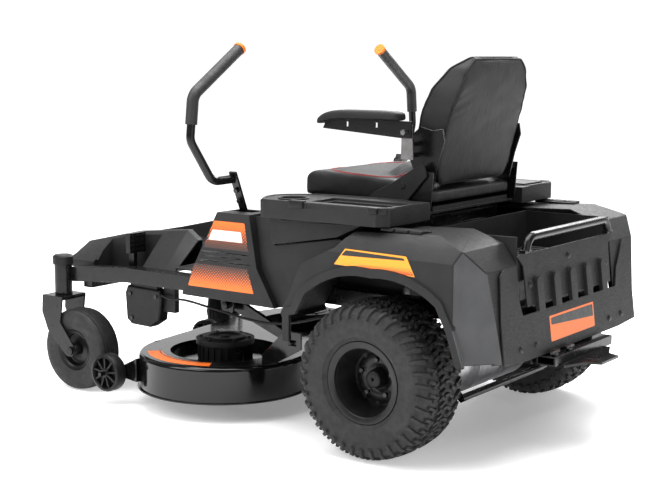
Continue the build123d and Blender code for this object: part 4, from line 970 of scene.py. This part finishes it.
STEEL = {
    "main_frame": 1.6,
    "hitch_plate": 1.2,
    "cross_tube": 0,
    "guard_bar": 0.8,
    "caster_fork_left": 1.4,
    "caster_fork_right": 1.4,
    "lever_base_left": 1.0,
    "lever_base_right": 1.0,
    "lap_bar_left": 1.2,
    "lap_bar_right": 1.2,
    "lift_arms": 1.2,
    "pedal": 1.0,
    "seat_back_frame": 1.0,
    "armrest_bracket_left": 1.0,
    "armrest_bracket_right": 1.0,
    "seat_plate": 1.0,
}
MOULDED = {
    "fender_left": 3.0,
    "fender_right": 3.0,
    "console_left": 2.6,
    "console_right": 2.6,
    "side_covers": 2.6,
    "foot_platform": 2.4,
    "cargo_bed": 2.0,
    "rear_bumper": 1.6,
    "tailgate": 2.6,
    "seat_shields": 2.4,
}
TRIM = {
    "caster_caps": 1.0,
    "pedal_gearbox": 1.8,
    "seat_shroud": 1.4,
    "control_panel": 1.5,
    "chute": 1.0,
    "seat_pan": 1.6,
}


class MOWER_OT_steel(bpy.types.Operator):
    """Give the frame, forks, brackets and levers their painted edges"""

    bl_idname = "mower.steel"
    bl_label = "Steel work"

    def execute(self, context):
        for node, width in STEEL.items():
            refined(node, width, finishes["frame"])
        refined("deck_shell", 1.2, finishes["deck"])
        for side_name in SIDES:
            refined(f"blade_{side_name}", 0.6, finishes["rim"])
        return {"FINISHED"}


class MOWER_OT_panels(bpy.types.Operator):
    """Give the moulded covers their rounded edges and grain"""

    bl_idname = "mower.panels"
    bl_label = "Moulded panels"

    def execute(self, context):
        for node, width in MOULDED.items():
            refined(node, width, finishes["body"])
        for node, width in TRIM.items():
            refined(node, width, finishes["trim"])
        return {"FINISHED"}


class MOWER_OT_machinery(bpy.types.Operator):
    """Finish the motors, battery, controllers, wiring and switches"""

    bl_idname = "mower.machinery"
    bl_label = "Machinery"

    def execute(self, context):
        kept = {
            "motor_controllers": "alloy",
            "battery_pack": "trim",
            "lift_cable": "trim",
            "key_switch": "trim",
            "pto_knob": "orange",
        }
        for node, finish in kept.items():
            data = frame["nodes"][node].data
            data.materials.clear()
            data.materials.append(finishes[finish])
        refined("deck_motors", 1.2, finishes["trim"])
        return {"FINISHED"}


# ---- upholstery ----

SEAT_TOP = [(448, 774), (425, 792), (240, 788), (90, 772), (36, 752), (-36, 738)]
BACK_REAR = [(748, -24), (832, -40), (940, -70), (1040, -104), (1140, -118)]
BACK_FRONT = [(766, 44), (840, 62), (910, 52), (985, 38), (1045, 12), (1104, -34), (1142, -92)]
BACK_OUTLINE = [(-183, 744), (-223, 790), (-223, 960), (-208, 1044), (-182, 1108), (-140, 1140)]


BACK_HALF_WIDTH = 223
SEAM_MIDDLE_Z = 945
SEAM_SHARE = 0.955
SEAM_INSET = 8
SEAT_SLACK = 0.010
BACK_SLACK = 0.009
SEAT_SMOOTHING = 9
BACK_SMOOTHING = 8
SEAT_CAP = 0.016
BACK_CAP = 0.015
SPINDLES = {"left": (745, 272), "right": (805, -258)}


def level(table, value):
    """Reads a table of (value, result) pairs, straight between its rows."""
    rows = sorted(table)
    return float(np.interp(value, [r[0] for r in rows], [r[1] for r in rows]))


def spaced(points, step, closed=True):
    """Points at an even step along a path of millimetre points."""
    path = points + points[:1] if closed else points
    made = []
    for a, b in zip(path, path[1:]):
        count = max(1, round((Vector(b) - Vector(a)).length / step))
        made += [tuple(Vector(a).lerp(Vector(b), i / count)) for i in range(count)]
    return made if closed else made + [tuple(path[-1])]


def soft_source(node, slack, extra=()):
    """A merged copy of a plain CAD cushion, drawn in by its slack, with ellipsoids added to it."""
    bm = bmesh.new()
    bm.from_mesh(frame["nodes"][node].data)
    bmesh.ops.remove_doubles(bm, verts=bm.verts, dist=0.00001)
    low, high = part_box(node)
    centre, size = (low + high) / 2, high - low
    shrink = [1 - 2 * slack / size[i] for i in range(3)]
    for vert in bm.verts:
        vert.co = [centre[i] + (vert.co[i] - centre[i]) * shrink[i] for i in range(3)]
    for place, radii in extra:
        ball = bmesh.ops.create_uvsphere(bm, u_segments=40, v_segments=20, radius=1.0)["verts"]
        bmesh.ops.scale(bm, vec=[r * MM for r in radii], verts=ball)
        bmesh.ops.translate(bm, vec=at(*place), verts=ball)
    mesh = bpy.data.meshes.new(node + "_source")
    bm.to_mesh(mesh)
    bm.free()
    return add_object(node + "_source", mesh)


def inflated(node, source, seams, rounds, cap, settings, materials):
    """A cushion: the source remeshed, held at its seams and swollen by a cloth simulation."""
    grain = source.modifiers.new("grain", "REMESH")
    grain.mode = "VOXEL"
    grain.voxel_size = settings.voxel
    cover = settle(source, node + "_cover")
    bm = bmesh.new()
    bm.from_mesh(cover.data)
    for _ in range(rounds):
        bmesh.ops.smooth_vert(
            bm, verts=bm.verts, factor=0.5, use_axis_x=True, use_axis_y=True, use_axis_z=True
        )
    bm.to_mesh(cover.data)
    bm.free()
    start = [v.co.copy() for v in cover.data.vertices]
    held = KDTree(len(seams))
    for i, point in enumerate(seams):
        held.insert(point, i)
    held.balance()
    pins = cover.vertex_groups.new(name="seams")
    for vert in cover.data.vertices:
        away = held.find(vert.co)[2]
        weight = max(0.0, min(1.0, (0.018 - away) / 0.008))
        if weight:
            pins.add([vert.index], weight, "REPLACE")
    cloth = cover.modifiers.new("cloth", "CLOTH")
    cloth.settings.vertex_group_mass = pins.name
    cloth.settings.use_pressure = True
    cloth.settings.uniform_pressure_force = settings.pressure
    cloth.settings.effector_weights.gravity = 0.0
    cloth.point_cache.frame_start = 1
    cloth.point_cache.frame_end = 20
    for step in range(1, 21):
        bpy.context.scene.frame_set(step)
    cover = settle(cover, node + "_swollen")
    bpy.context.scene.frame_set(1)
    for vert, rest in zip(cover.data.vertices, start):
        move = vert.co - rest
        if move.length > cap:
            vert.co = rest + move.normalized() * cap
    for material in materials:
        cover.data.materials.append(material)
    finer = cover.modifiers.new("finer", "SUBSURF")
    finer.levels = finer.render_levels = 1
    cover = settle(cover, node + "_cushion")
    cover.data.polygons.foreach_set("use_smooth", [True] * len(cover.data.polygons))
    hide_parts(node)
    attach(cover, frame["nodes"][node]["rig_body"])
    return cover


def on_surface(tree, points, lift):
    """Points moved to the nearest place of a surface and lifted off it."""
    made = []
    for point in points:
        place, normal = tree.find_nearest(point)[:2]
        made.append(place + normal * lift)
    return made


def stitched(name, points, material, settings):
    """A row of stitches along points of the frame."""
    path = mesh_path(name + "_path", points)
    pattern = bmesh.new()
    bmesh.ops.create_cone(
        pattern, cap_ends=True, segments=6, radius1=0.0011, radius2=0.0011, depth=settings.stitch * 0.72
    )
    mesh = bpy.data.meshes.new("stitch")
    pattern.to_mesh(mesh)
    pattern.free()
    made = grown(
        name,
        "stitches",
        pattern=add_object("stitch", mesh),
        path=path,
        spacing=settings.stitch,
        material=material,
    )
    bpy.data.objects.remove(path)
    return made


def mesh_path(name, points):
    """An open curve through points of the frame."""
    line = bpy.data.curves.new(name, "CURVE")
    line.dimensions = "3D"
    spline = line.splines.new("POLY")
    spline.points.add(len(points) - 1)
    for knot, point in zip(spline.points, points):
        knot.co = (*point, 1.0)
    return add_object(name, line)


def puckered(cover):
    """Presses fine wrinkles and pulled edges into the flat rear cover of the backrest."""
    for vert in cover.data.vertices:
        if vert.normal.x > -0.55:
            continue
        y, z = local(vert.co)[1:]
        run = abs(y) / BACK_HALF_WIDTH
        ripple = noise.noise(Vector((y * 0.006, z * 0.022 + y * 0.009, 3.1)))
        pull = 0.0
        for centre, width, depth in ((985, 12, 3.4), (955, 9, 2.4), (1015, 10, 1.8), (800, 14, 2.6)):
            line = z - centre + (abs(y) - 200) * 0.35
            pull += depth * exp(-((line / width) ** 2)) * max(0.0, run - 0.45) * 1.6
        vert.co -= vert.normal * ((1.3 * ripple + pull) * MM)


class MOWER_OT_seat(bpy.types.Operator):
    """Swell the seat cushion, with its rear bolster and red double stitching"""

    bl_idname = "mower.seat"
    bl_label = "Seat cushion"

    def execute(self, context):
        settings = context.scene.mower_seat
        edge = rounded([(446, 248), (446, -248), (-34, -248), (-34, 248)], 2)
        seams = [at(x * 0.97, y * 0.96, level(SEAT_TOP, x) - 10) for x, y in spaced(edge, 7)]
        seams += [at(x * 0.97, y * 0.96, 706) for x, y in spaced(edge, 7)]
        bolster = [((126, 0, 770), (92, 188, 46))]
        source = soft_source("seat_cushion", SEAT_SLACK, bolster)
        made = inflated(
            "seat_cushion", source, seams, SEAT_SMOOTHING, SEAT_CAP, settings, (
                finishes["vinyl"], finishes["back_vinyl"]
            )
        )
        for face in made.data.polygons:
            face.material_index = 1 if face.normal.x < -0.7 else 0
        surface = BVHTree.FromObject(made, context.evaluated_depsgraph_get())
        rows = []
        for inset in (9, 17):
            loop = rounded(
                [
                    (438 - inset, 240 - inset),
                    (438 - inset, inset - 240),
                    (60, inset - 240),
                    (60, 240 - inset),
                ],
                3,
            )
            points = []
            for x, y in spaced(loop, 9):
                hit = surface.ray_cast(at(x, y, 900), Vector((0, 0, -1)))
                points.append(hit[0] + hit[1] * 0.0004)
            rows.append(stitched(f"seat_stitches_{inset}", points + points[:1], finishes["thread"], settings))
            welt = [p - Vector((0, 0, 0.0004)) for p in points]
            rows.append(tube(f"seat_fold_{inset}", welt + welt[:1], 0.0009, finishes["vinyl"], 3, 6))
        trim = joined("seat_stitching", rows)
        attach(trim, "seat")
        return {"FINISHED"}


def back_seam(outline, face, inset):
    """Points of the frame along one edge of the backrest, drawn in from its outline."""
    return [
        at(level(face, z) + inset, y * SEAM_SHARE, SEAM_MIDDLE_Z + (z - SEAM_MIDDLE_Z) * SEAM_SHARE)
        for y, z in outline
    ]


class MOWER_OT_backrest(bpy.types.Operator):
    """Swell the backrest, pipe its edges and wrinkle its rear cover"""

    bl_idname = "mower.backrest"
    bl_label = "Backrest"

    def execute(self, context):
        settings = context.scene.mower_seat
        half = spaced(rounded(BACK_OUTLINE, 2, closed=False), 7, closed=False)
        outline = half + [(-y, z) for y, z in reversed(half)]
        rear = back_seam(outline, BACK_REAR, SEAM_INSET)
        front = back_seam(outline, BACK_FRONT, -SEAM_INSET)
        source = soft_source("seat_back_cushion", BACK_SLACK)
        made = inflated(
            "seat_back_cushion", source, rear + front, BACK_SMOOTHING, BACK_CAP, settings, (
                finishes["vinyl"], finishes["back_vinyl"]
            )
        )
        puckered(made)
        for face in made.data.polygons:
            face.material_index = 1 if face.normal.x < -0.72 else 0
        surface = BVHTree.FromObject(made, context.evaluated_depsgraph_get())
        pipes = []
        for name, loop in (("rear", rear), ("front", front)):
            points = on_surface(surface, loop, 0.0012)
            pipes.append(tube(f"back_piping_{name}", points + points[:1], 0.0028, finishes["vinyl"], 4, 10))
        trim = joined("backrest_piping", pipes)
        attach(trim, "seat")
        return {"FINISHED"}


ARM_STATIONS = [
    (42, 948, 968, 24), (50, 948, 975, 31), (90, 948, 977, 32), (210, 947, 977, 32), (258, 946, 976, 32),
    (288, 942, 972, 31), (312, 936, 964, 29), (328, 932, 954, 25), (338, 932, 946, 18),
]


class MOWER_OT_armrests(bpy.types.Operator):
    """Build the armrest pads, which droop at the front"""

    bl_idname = "mower.armrests"
    bl_label = "Armrest pads"

    def execute(self, context):
        section = rounded(
            [
                (-1, 0),
                (1, 0),
                (1.02, 0.45),
                (0.9, 0.92),
                (0.5, 1),
                (-0.5, 1),
                (-0.9, 0.92),
                (-1.02, 0.45),
            ],
            1,
        )
        for side_name, side in SIDES.items():
            vertices, faces = [], []
            count = len(section)
            for x, low, high, half in ARM_STATIONS:
                vertices += [at(x, side * 300 + y * half, low + z * (high - low)) for y, z in section]
            for station in range(len(ARM_STATIONS) - 1):
                for i in range(count):
                    j = (i + 1) % count
                    a, b = station * count, (station + 1) * count
                    faces.append((a + i, a + j, b + j, b + i))
            faces += [list(range(count)), list(range(len(vertices) - count, len(vertices)))]
            mesh = mesh_from(f"armrest_{side_name}", vertices, faces)
            bm = bmesh.new()
            bm.from_mesh(mesh)
            bmesh.ops.recalc_face_normals(bm, faces=bm.faces)
            bm.to_mesh(mesh)
            bm.free()
            pad = add_object(f"armrest_{side_name}_pad", mesh, finishes["vinyl"])
            finer = pad.modifiers.new("finer", "SUBSURF")
            finer.levels = finer.render_levels = 3
            pad = settle(pad, f"armrest_{side_name}_soft")
            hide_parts(f"armrest_pad_{side_name}")
            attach(pad, f"armrest_{side_name}")
        return {"FINISHED"}


# ---- coloured faces ----


def recoloured(shell, material, chosen):
    """Gives a second material to the faces that a test of centre and normal picks."""
    shell.data.materials.append(material)
    slot = len(shell.data.materials) - 1
    for face in shell.data.polygons:
        if chosen(local(face.center), face.normal):
            face.material_index = slot


def at_rear_corner(centre, normal):
    """Whether a fender face faces rear at its corner, where the lighter plastic paints a highlight."""
    x, y, z = centre
    return normal.x < -0.25 and abs(y) > 420 and 318 < z < 560 and x < -290


class MOWER_OT_grips(bpy.types.Operator):
    """Colour the lever grips' end caps and the seat's plated brackets, and paint a highlight on the fenders'
    rear corners
    """

    bl_idname = "mower.grips"
    bl_label = "Grips and brackets"

    def execute(self, context):
        for side_name, side in SIDES.items():
            grip = refined(f"lap_grip_{side_name}", 0.8, finishes["grip"])
            end = Vector((582, side * 386, 1152))
            heading = (end - Vector((585, side * 592, 1018))).normalized()
            recoloured(grip, finishes["orange"], lambda c, n: (Vector(c) - end).dot(heading) > 0.2)
            fender = bpy.data.objects[f"fender_{side_name}_shell"]
            # The rear-facing corner faces get the lighter plastic: a painted highlight.
            recoloured(fender, finishes["panel_gloss"], at_rear_corner)
        brackets = bpy.data.objects["seat_back_frame_shell"]
        recoloured(
            brackets,
            finishes["steel"],
            lambda c,
            n: 282 < abs(c[1]) < 290 or (abs(c[1]) > 226 and c[2] > 905),
        )
        return {"FINISHED"}


# ---- decals ----

DECAL_LIFT = 0.15
DECAL_FILM = 0.00035
REAR_LEAN = radians(7.0)


def rear_point(y, height, out=0.0):
    """A place on the leaning rear face, out being its distance behind that face."""
    along = height * sin(REAR_LEAN) - out * cos(REAR_LEAN)
    return at(-382 + along, y, 296 + height * cos(REAR_LEAN) + out * sin(REAR_LEAN))


def side_decal(name, side, y, outline, material, layer=0):
    """A film on a flat side of the machine from (x, z) points."""
    lift = DECAL_LIFT + 0.4 * layer
    points = [at(x, side * (y + lift), z) for x, z in clipped(outline, 3)]
    return plate(name, points, DECAL_FILM, material, Vector((0, side, 0)))


def rear_decal(name, outline, material, layer=0):
    """A film on the leaning rear face from (y, height) points."""
    points = [rear_point(y, height, DECAL_LIFT + 0.4 * layer) for y, height in clipped(outline, 4)]
    return plate(name, points, DECAL_FILM, material, Vector((-1, 0, 0)))


class MOWER_OT_decals(bpy.types.Operator):
    """Lay the decals on the pods, fenders, bumper, deck and bed, without lettering"""

    bl_idname = "mower.decals"
    bl_label = "Decals"

    def execute(self, context):
        settings = context.scene.mower_decals
        orange, amber, pitch = settings.orange[:], settings.amber[:], settings.dot_pitch
        flat_lattice = (1.0, 0.0, 1.0)
        top_dots = halftone("pod_dots_top", orange, CHARCOAL, pitch, (2, 0.632, 0.555), flat_lattice)
        low_dots = halftone("pod_dots_low", orange, CHARCOAL, pitch, (2, 0.424, 0.492), flat_lattice)
        red_dots = halftone(
            "fender_dots", (0.75, 0.05, 0.01), amber, pitch * 0.8, (2, 0.545, 0.572), flat_lattice
        )
        white = film("white_film", (0.80, 0.80, 0.80))
        dark = film("dark_film", (0.012, 0.012, 0.013))
        amber_film, orange_film = film("amber_film", amber), film("orange_film", orange)
        for side_name, side in SIDES.items():
            pod = [
                ([(606, 634), (486, 634), (472, 548), (652, 548)], top_dots, 0),
                ([(690, 494), (476, 494), (452, 422), (716, 422)], low_dots, 0),
                ([(612, 606), (500, 606), (494, 574), (630, 574)], white, 1),
                ([(660, 538.5), (474, 538.5), (474, 535.5), (661, 535.5)], white, 0),
                ([(650, 524.5), (500, 524.5), (500, 521.5), (651, 521.5)], white, 0),
                ([(676, 509), (468, 509), (468, 506), (677, 506)], white, 0),
            ]
            pieces = [side_decal(f"pod_{i}", side, 480, *row) for i, row in enumerate(pod)]
            fender = [
                ([(105, 555), (67, 602), (-136, 598), (-164, 544)], amber_film, 0),
                ([(80, 582), (64, 598), (-128, 592), (-132, 586)], dark, 1),
                ([(20, 562), (-150, 566), (-160, 547), (24, 553)], red_dots, 1),
            ]
            pieces += [side_decal(f"fender_{i}", side, 545, *row) for i, row in enumerate(fender)]
            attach(joined(f"decals_{side_name}", pieces), "root")
        rear = [
            rear_decal("rear_field", [(150, 30), (150, 104), (-137, 104), (-137, 30)], orange_film),
            rear_decal("rear_dark", [(142, 78), (142, 98), (-130, 98), (-130, 62)], dark, 1),
        ]
        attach(joined("decals_rear", rear), "root")
        spindle = SPINDLES["left"]
        arc = [radians(44 + 75 * i / 30) for i in range(31)]
        for name, near, far, lift, material in (
            ("deck_arc", 207, 253, 178.15, orange_film),
            ("deck_line", 212, 215, 178.55, dark),
        ):
            outline = [at(spindle[0] + far * cos(a), spindle[1] + far * sin(a), lift) for a in arc]
            outline += [
                at(spindle[0] + near * cos(a), spindle[1] + near * sin(a), lift) for a in reversed(arc)
            ]
            made = plate(name, outline, DECAL_FILM, material, Vector((0, 0, 1)))
            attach(made, "deck")
        bed = [at(-62, 205, 531.4), at(-62, 275, 531.4), at(-96, 275, 531.4), at(-96, 205, 531.4)]
        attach(plate("bed_label", bed, DECAL_FILM, orange_film, Vector((0, 0, 1))), "root")
        return {"FINISHED"}


# ---- small details ----


def banded(name, outline, outward, inward, low, high, material):
    """A lip round an outline of (x, y) points, with a rectangular section."""
    centre = sum((Vector(p) for p in outline), Vector((0, 0))) / len(outline)
    vertices, faces = [], []
    count = len(outline)
    for i, point in enumerate(outline):
        here, before, after = Vector(point), Vector(outline[i - 1]), Vector(outline[(i + 1) % count])
        run = (after - before).normalized()
        out = Vector((run.y, -run.x))
        out = out if out.dot(here - centre) > 0 else -out
        for reach, z in ((outward, low), (outward, high), (-inward, high), (-inward, low)):
            place = here + out * reach
            vertices.append(at(place.x, place.y, z))
    for i in range(count):
        j = (i + 1) % count
        faces += [(4 * i + k, 4 * j + k, 4 * j + (k + 1) % 4, 4 * i + (k + 1) % 4) for k in range(4)]
    mesh = mesh_from(name, vertices, faces)
    bm = bmesh.new()
    bm.from_mesh(mesh)
    bmesh.ops.recalc_face_normals(bm, faces=bm.faces)
    bmesh.ops.bevel(
        bm,
        geom=[e for e in bm.edges if e.calc_face_angle(0) > 1.2],
        offset=1.2 * MM,
        segments=2,
        profile=0.5,
        affect="EDGES",
    )
    sharpen(bm, radians(40))
    bm.to_mesh(mesh)
    bm.free()
    return add_object(name, mesh, material)


CONSOLE_RIM = [(394, 509), (446, 412), (416, 345), (306, 283), (-40, 283), (-41, 489), (-14, 511), (376, 511)]
PLATFORM = [
    (1440, 228, 452, 300, 425), (1398, 246, 480, 345, 425), (1153, 250, 534, 362, 431), (
        926, 250, 556, 362, 434
    ),
]


def platform_point(x, up, lift):
    """A place on the foot platform's sloping side, up being 0 at the skirt and 1 at the crest."""
    rows = [level([(row[0], row[k]) for row in PLATFORM], x) for k in (1, 2, 3, 4)]
    crest, crest_z, skirt, skirt_z = rows
    y, z = skirt + (crest - skirt) * up, skirt_z + (crest_z - skirt_z) * up
    slope = Vector((crest_z - skirt_z, skirt - crest)).normalized()
    return y + slope.x * lift, z + slope.y * lift


class MOWER_OT_details(bpy.types.Operator):
    """Add console lips and latches, hatch hinges, dark strips of painted shade for the platform's side
    recesses, motor lids and screws
    """

    bl_idname = "mower.details"
    bl_label = "Small details"

    def execute(self, context):
        body, trim = finishes["body"], finishes["trim"]
        for side_name, side in SIDES.items():
            rim = rounded([(x, side * y) for x, y in CONSOLE_RIM], 1)
            lips = [
                banded("lip", rim, 4.0, 7.0, 699, 718, body),
                banded("step", rim, 1.5, 5.0, 684, 692, body),
            ]
            ring = [
                at(330 + 43 * cos(t * pi / 16), side * 440 + 43 * sin(t * pi / 16), 717.5)
                for t in range(33)
            ]
            lips.append(tube("cup_ring", ring, 0.0035, body, 4, 10))
            low_y, high_y = sorted((side * 500, side * 521))
            lips.append(soft_box("latch", (236, low_y, 700), (286, high_y, 722), 2.0, trim))
            lips.append(soft_box("latch_end", (-20, low_y, 702), (10, high_y, 719), 2.0, trim))
            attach(joined(f"console_lips_{side_name}", lips), "root")
            tabs = []
            for start in (-13, -60, -107):
                y_pair = sorted((side * 452, side * 488))
                tabs.append(soft_box("tab", (start - 42, y_pair[0], 652), (start, y_pair[1], 661), 2.2, body))
            y_pair = sorted((side * 440, side * 458))
            tabs.append(soft_box("hinge_bar", (-153, y_pair[0], 651), (-8, y_pair[1], 658), 2.0, body))
            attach(joined(f"hatch_hinge_{side_name}", tabs), "root")
            # Thin dark plates laid flat on the platform's sloping sides: painted shade standing for recesses
            # there.
            groove_shades = []
            for top_x, foot_x in ((1378, 1338), (1358, 1318), (1322, 1284), (1302, 1264)):
                corners = [(top_x, 0.97), (top_x - 11, 0.97), (foot_x - 11, 0.08), (foot_x, 0.08)]
                points = []
                for x, up in corners:
                    y, z = platform_point(x, up, 0.2)
                    points.append(at(x, side * y, z))
                groove_shades.append(plate("groove", points, 0.0004, trim, Vector((0, side, 1))))
            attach(joined(f"platform_grooves_{side_name}", groove_shades), "root")
        for place, spindle in SPINDLES.items():
            top = 150.3 + 68
            lid = [
                (0.2, 0.5),
                (0.2, 70),
                (2.5, 70),
                (4.5, 66),
                (4.5, 48),
                (2.6, 45),
                (2.6, 16),
                (6, 14),
                (6, 0.5),
            ]
            lids = [lathe("lid", lid, at(*spindle, top), Vector((0, 0, 1)), 48, trim)]
            bolt = lathe(
                "bolt",
                [(0.2, 0.3), (0.2, 5), (4, 5), (5, 4), (5, 0.3)],
                Vector((0, 0.080, 0)),
                Vector((0, 0, 1)),
                12,
                trim,
            )
            lids.append(
                repeated("bolts", bolt, 6, finishes["zinc"], start=at(*spindle, top), turn=(0, 0, 2 * pi / 6))
            )
            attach(joined(f"motor_lid_{place}", lids), "deck")
        return {"FINISHED"}


def rear_screws(name, y, height, count):
    """Recessed pan-head screws on the rear face, from one side to its mirror image."""
    axis = Vector((-cos(REAR_LEAN), 0, sin(REAR_LEAN)))
    head = [(0.2, 0.3), (0.2, 9.5), (1.2, 9.5), (2.2, 8.2), (4.2, 6.4), (4.8, 3.6), (2.4, 3.2), (2.4, 0.3)]
    pattern = lathe(name + "_head", head, Vector((0, 0, 0)), axis, 20, finishes["zinc"])
    start = rear_point(y, height)
    return repeated(name, pattern, count, finishes["zinc"], start=start, move=(0, -2 * y * MM, 0))


class MOWER_OT_fixings(bpy.types.Operator):
    """Build the round screw heads of the rear face and finish the other fixings"""

    bl_idname = "mower.fixings"
    bl_label = "Fixings"

    def execute(self, context):
        rows = [(240.5, 37, 2), (330, 38, 2), (247, 209, 2), (0.5, 262, 1)]
        heads = [rear_screws(f"screws_{i}", *row) for i, row in enumerate(rows)]
        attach(joined("rear_screws", heads), "root")
        refined("body_screws", 0.5, finishes["zinc"])
        refined("drive_motors", 0.6, finishes["alloy"])
        refined("bed_mat", 0.8, finishes["mat"])
        return {"FINISHED"}




# ---- stage ----

CAMERA_YAW = radians(36.029)
CAMERA_PITCH = radians(8.34)
CAMERA_ROLL = radians(0.147)


def soft_light(name, kind_size, place, target, power, tint=(1.0, 1.0, 1.0)):
    """A rectangular area light that faces a point."""
    data = bpy.data.lights.new(name, "AREA")
    data.shape = "RECTANGLE"
    data.size, data.size_y = kind_size
    data.energy = power
    data.color = tint
    lamp = bpy.data.objects.new(name, data)
    bpy.context.scene.collection.objects.link(lamp)
    lamp.location = place
    lamp.rotation_mode = "QUATERNION"
    lamp.rotation_quaternion = (Vector(target) - Vector(place)).to_track_quat("-Z", "Y")
    return lamp


def studio_world():
    """White paper behind the machine, seen from the camera's side, and a dim room elsewhere."""
    world = bpy.data.worlds.new("studio")
    world.use_nodes = True
    nodes, links = world.node_tree.nodes, world.node_tree.links
    toward = nodes.new("ShaderNodeVectorMath")
    toward.operation = "DOT_PRODUCT"
    toward.inputs[1].default_value = (sin(CAMERA_YAW), -cos(CAMERA_YAW), 0.0)
    links.new(nodes.new("ShaderNodeTexCoord").outputs["Generated"], toward.inputs[0])
    band = nodes.new("ShaderNodeMapRange")
    for socket, number in zip(("From Min", "From Max", "To Min", "To Max"), (0.45, 0.75, 0.22, 1.05)):
        band.inputs[socket].default_value = number
    links.new(toward.outputs["Value"], band.inputs["Value"])
    links.new(band.outputs["Result"], nodes["Background"].inputs["Strength"])
    nodes["Background"].inputs["Color"].default_value = (1.0, 1.0, 1.0, 1.0)
    return world


class MOWER_OT_stage(bpy.types.Operator):
    """Set the floor, the lights and the camera"""

    bl_idname = "mower.stage"
    bl_label = "Stage"

    def execute(self, context):
        settings = context.scene.mower_stage
        half = 30.0
        floor_mesh = mesh_from(
            "floor",
            [(-half, -half, 0), (half, -half, 0), (half, half, 0), (-half, half, 0)],
            [(0, 1, 2, 3)],
        )
        floor = add_object("floor", floor_mesh, studio_floor())

        context.scene.world = studio_world()
        context.scene.view_settings.view_transform = "Standard"

        target = at(450, 0, 450)
        soft_light("key_light", (3.2, 2.2), at(1700, 3300, 3000), target, settings.key_power)
        soft_light("fill_light", (2.5, 2.5), at(-3600, 1200, 1900), target, settings.fill_power)
        soft_light("rim_light", (3.5, 1.2), at(600, -3000, 2600), target, settings.rim_power)
        soft_light("top_light", (4.0, 3.0), at(400, 200, 3600), target, settings.top_power)

        data = bpy.data.cameras.new("camera")
        data.sensor_width = 36.0
        data.lens = settings.focal_length
        data.clip_end = 100.0
        camera = bpy.data.objects.new("camera", data)
        context.scene.collection.objects.link(camera)
        camera.location = at(-2069.2, 3536.9, 1136.9)
        heading = Vector(
            (sin(CAMERA_YAW) * cos(CAMERA_PITCH), -cos(CAMERA_YAW) * cos(CAMERA_PITCH), -sin(CAMERA_PITCH))
        )
        camera.rotation_mode = "QUATERNION"
        roll = Matrix.Rotation(CAMERA_ROLL, 3, "Z").to_quaternion()
        camera.rotation_quaternion = heading.to_track_quat("-Z", "Y") @ roll
        context.scene.camera = camera
        return {"FINISHED"}


# ---- add-on registration ----


class MOWER_PT_looks(bpy.types.Panel):
    """Lists the mower's pieces"""

    bl_label = "Mower"
    bl_idname = "MOWER_PT_looks"
    bl_space_type = "VIEW_3D"
    bl_region_type = "UI"
    bl_category = "Mower"

    def draw(self, context):
        for operator in OPERATORS:
            self.layout.operator(operator.bl_idname)
        for settings in SETTINGS:
            owner = getattr(context.scene, settings)
            for name in owner.bl_rna.properties.keys():
                if name not in ("rna_type", "name"):
                    self.layout.prop(owner, name)


OPERATORS = [
    MOWER_OT_stage,
    MOWER_OT_steel,
    MOWER_OT_panels,
    MOWER_OT_machinery,
    MOWER_OT_rear_tyres,
    MOWER_OT_rims,
    MOWER_OT_caster_wheels,
    MOWER_OT_gauge_wheels,
    MOWER_OT_seat,
    MOWER_OT_backrest,
    MOWER_OT_armrests,
    MOWER_OT_grips,
    MOWER_OT_decals,
    MOWER_OT_details,
    MOWER_OT_fixings,
]
SETTINGS = {
    "mower_tread": TreadSettings,
    "mower_seat": SeatSettings,
    "mower_decals": DecalSettings,
    "mower_stage": StageSettings,
}


def register():
    for group in [*SETTINGS.values(), *OPERATORS, MOWER_PT_looks]:
        bpy.utils.register_class(group)
    for name, group in SETTINGS.items():
        setattr(bpy.types.Scene, name, bpy.props.PointerProperty(type=group))


def unregister():
    for name in SETTINGS:
        delattr(bpy.types.Scene, name)
    for group in [MOWER_PT_looks, *reversed(OPERATORS), *SETTINGS.values()]:
        bpy.utils.unregister_class(group)


def main():
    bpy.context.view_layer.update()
    register()
    make_finishes()
    trees.update(copies=copies_tree(), stitches=stitch_tree())
    for operator in OPERATORS:
        group, name = operator.bl_idname.split(".")
        getattr(getattr(bpy.ops, group), name)()


if __name__ == "__main__":
    main()
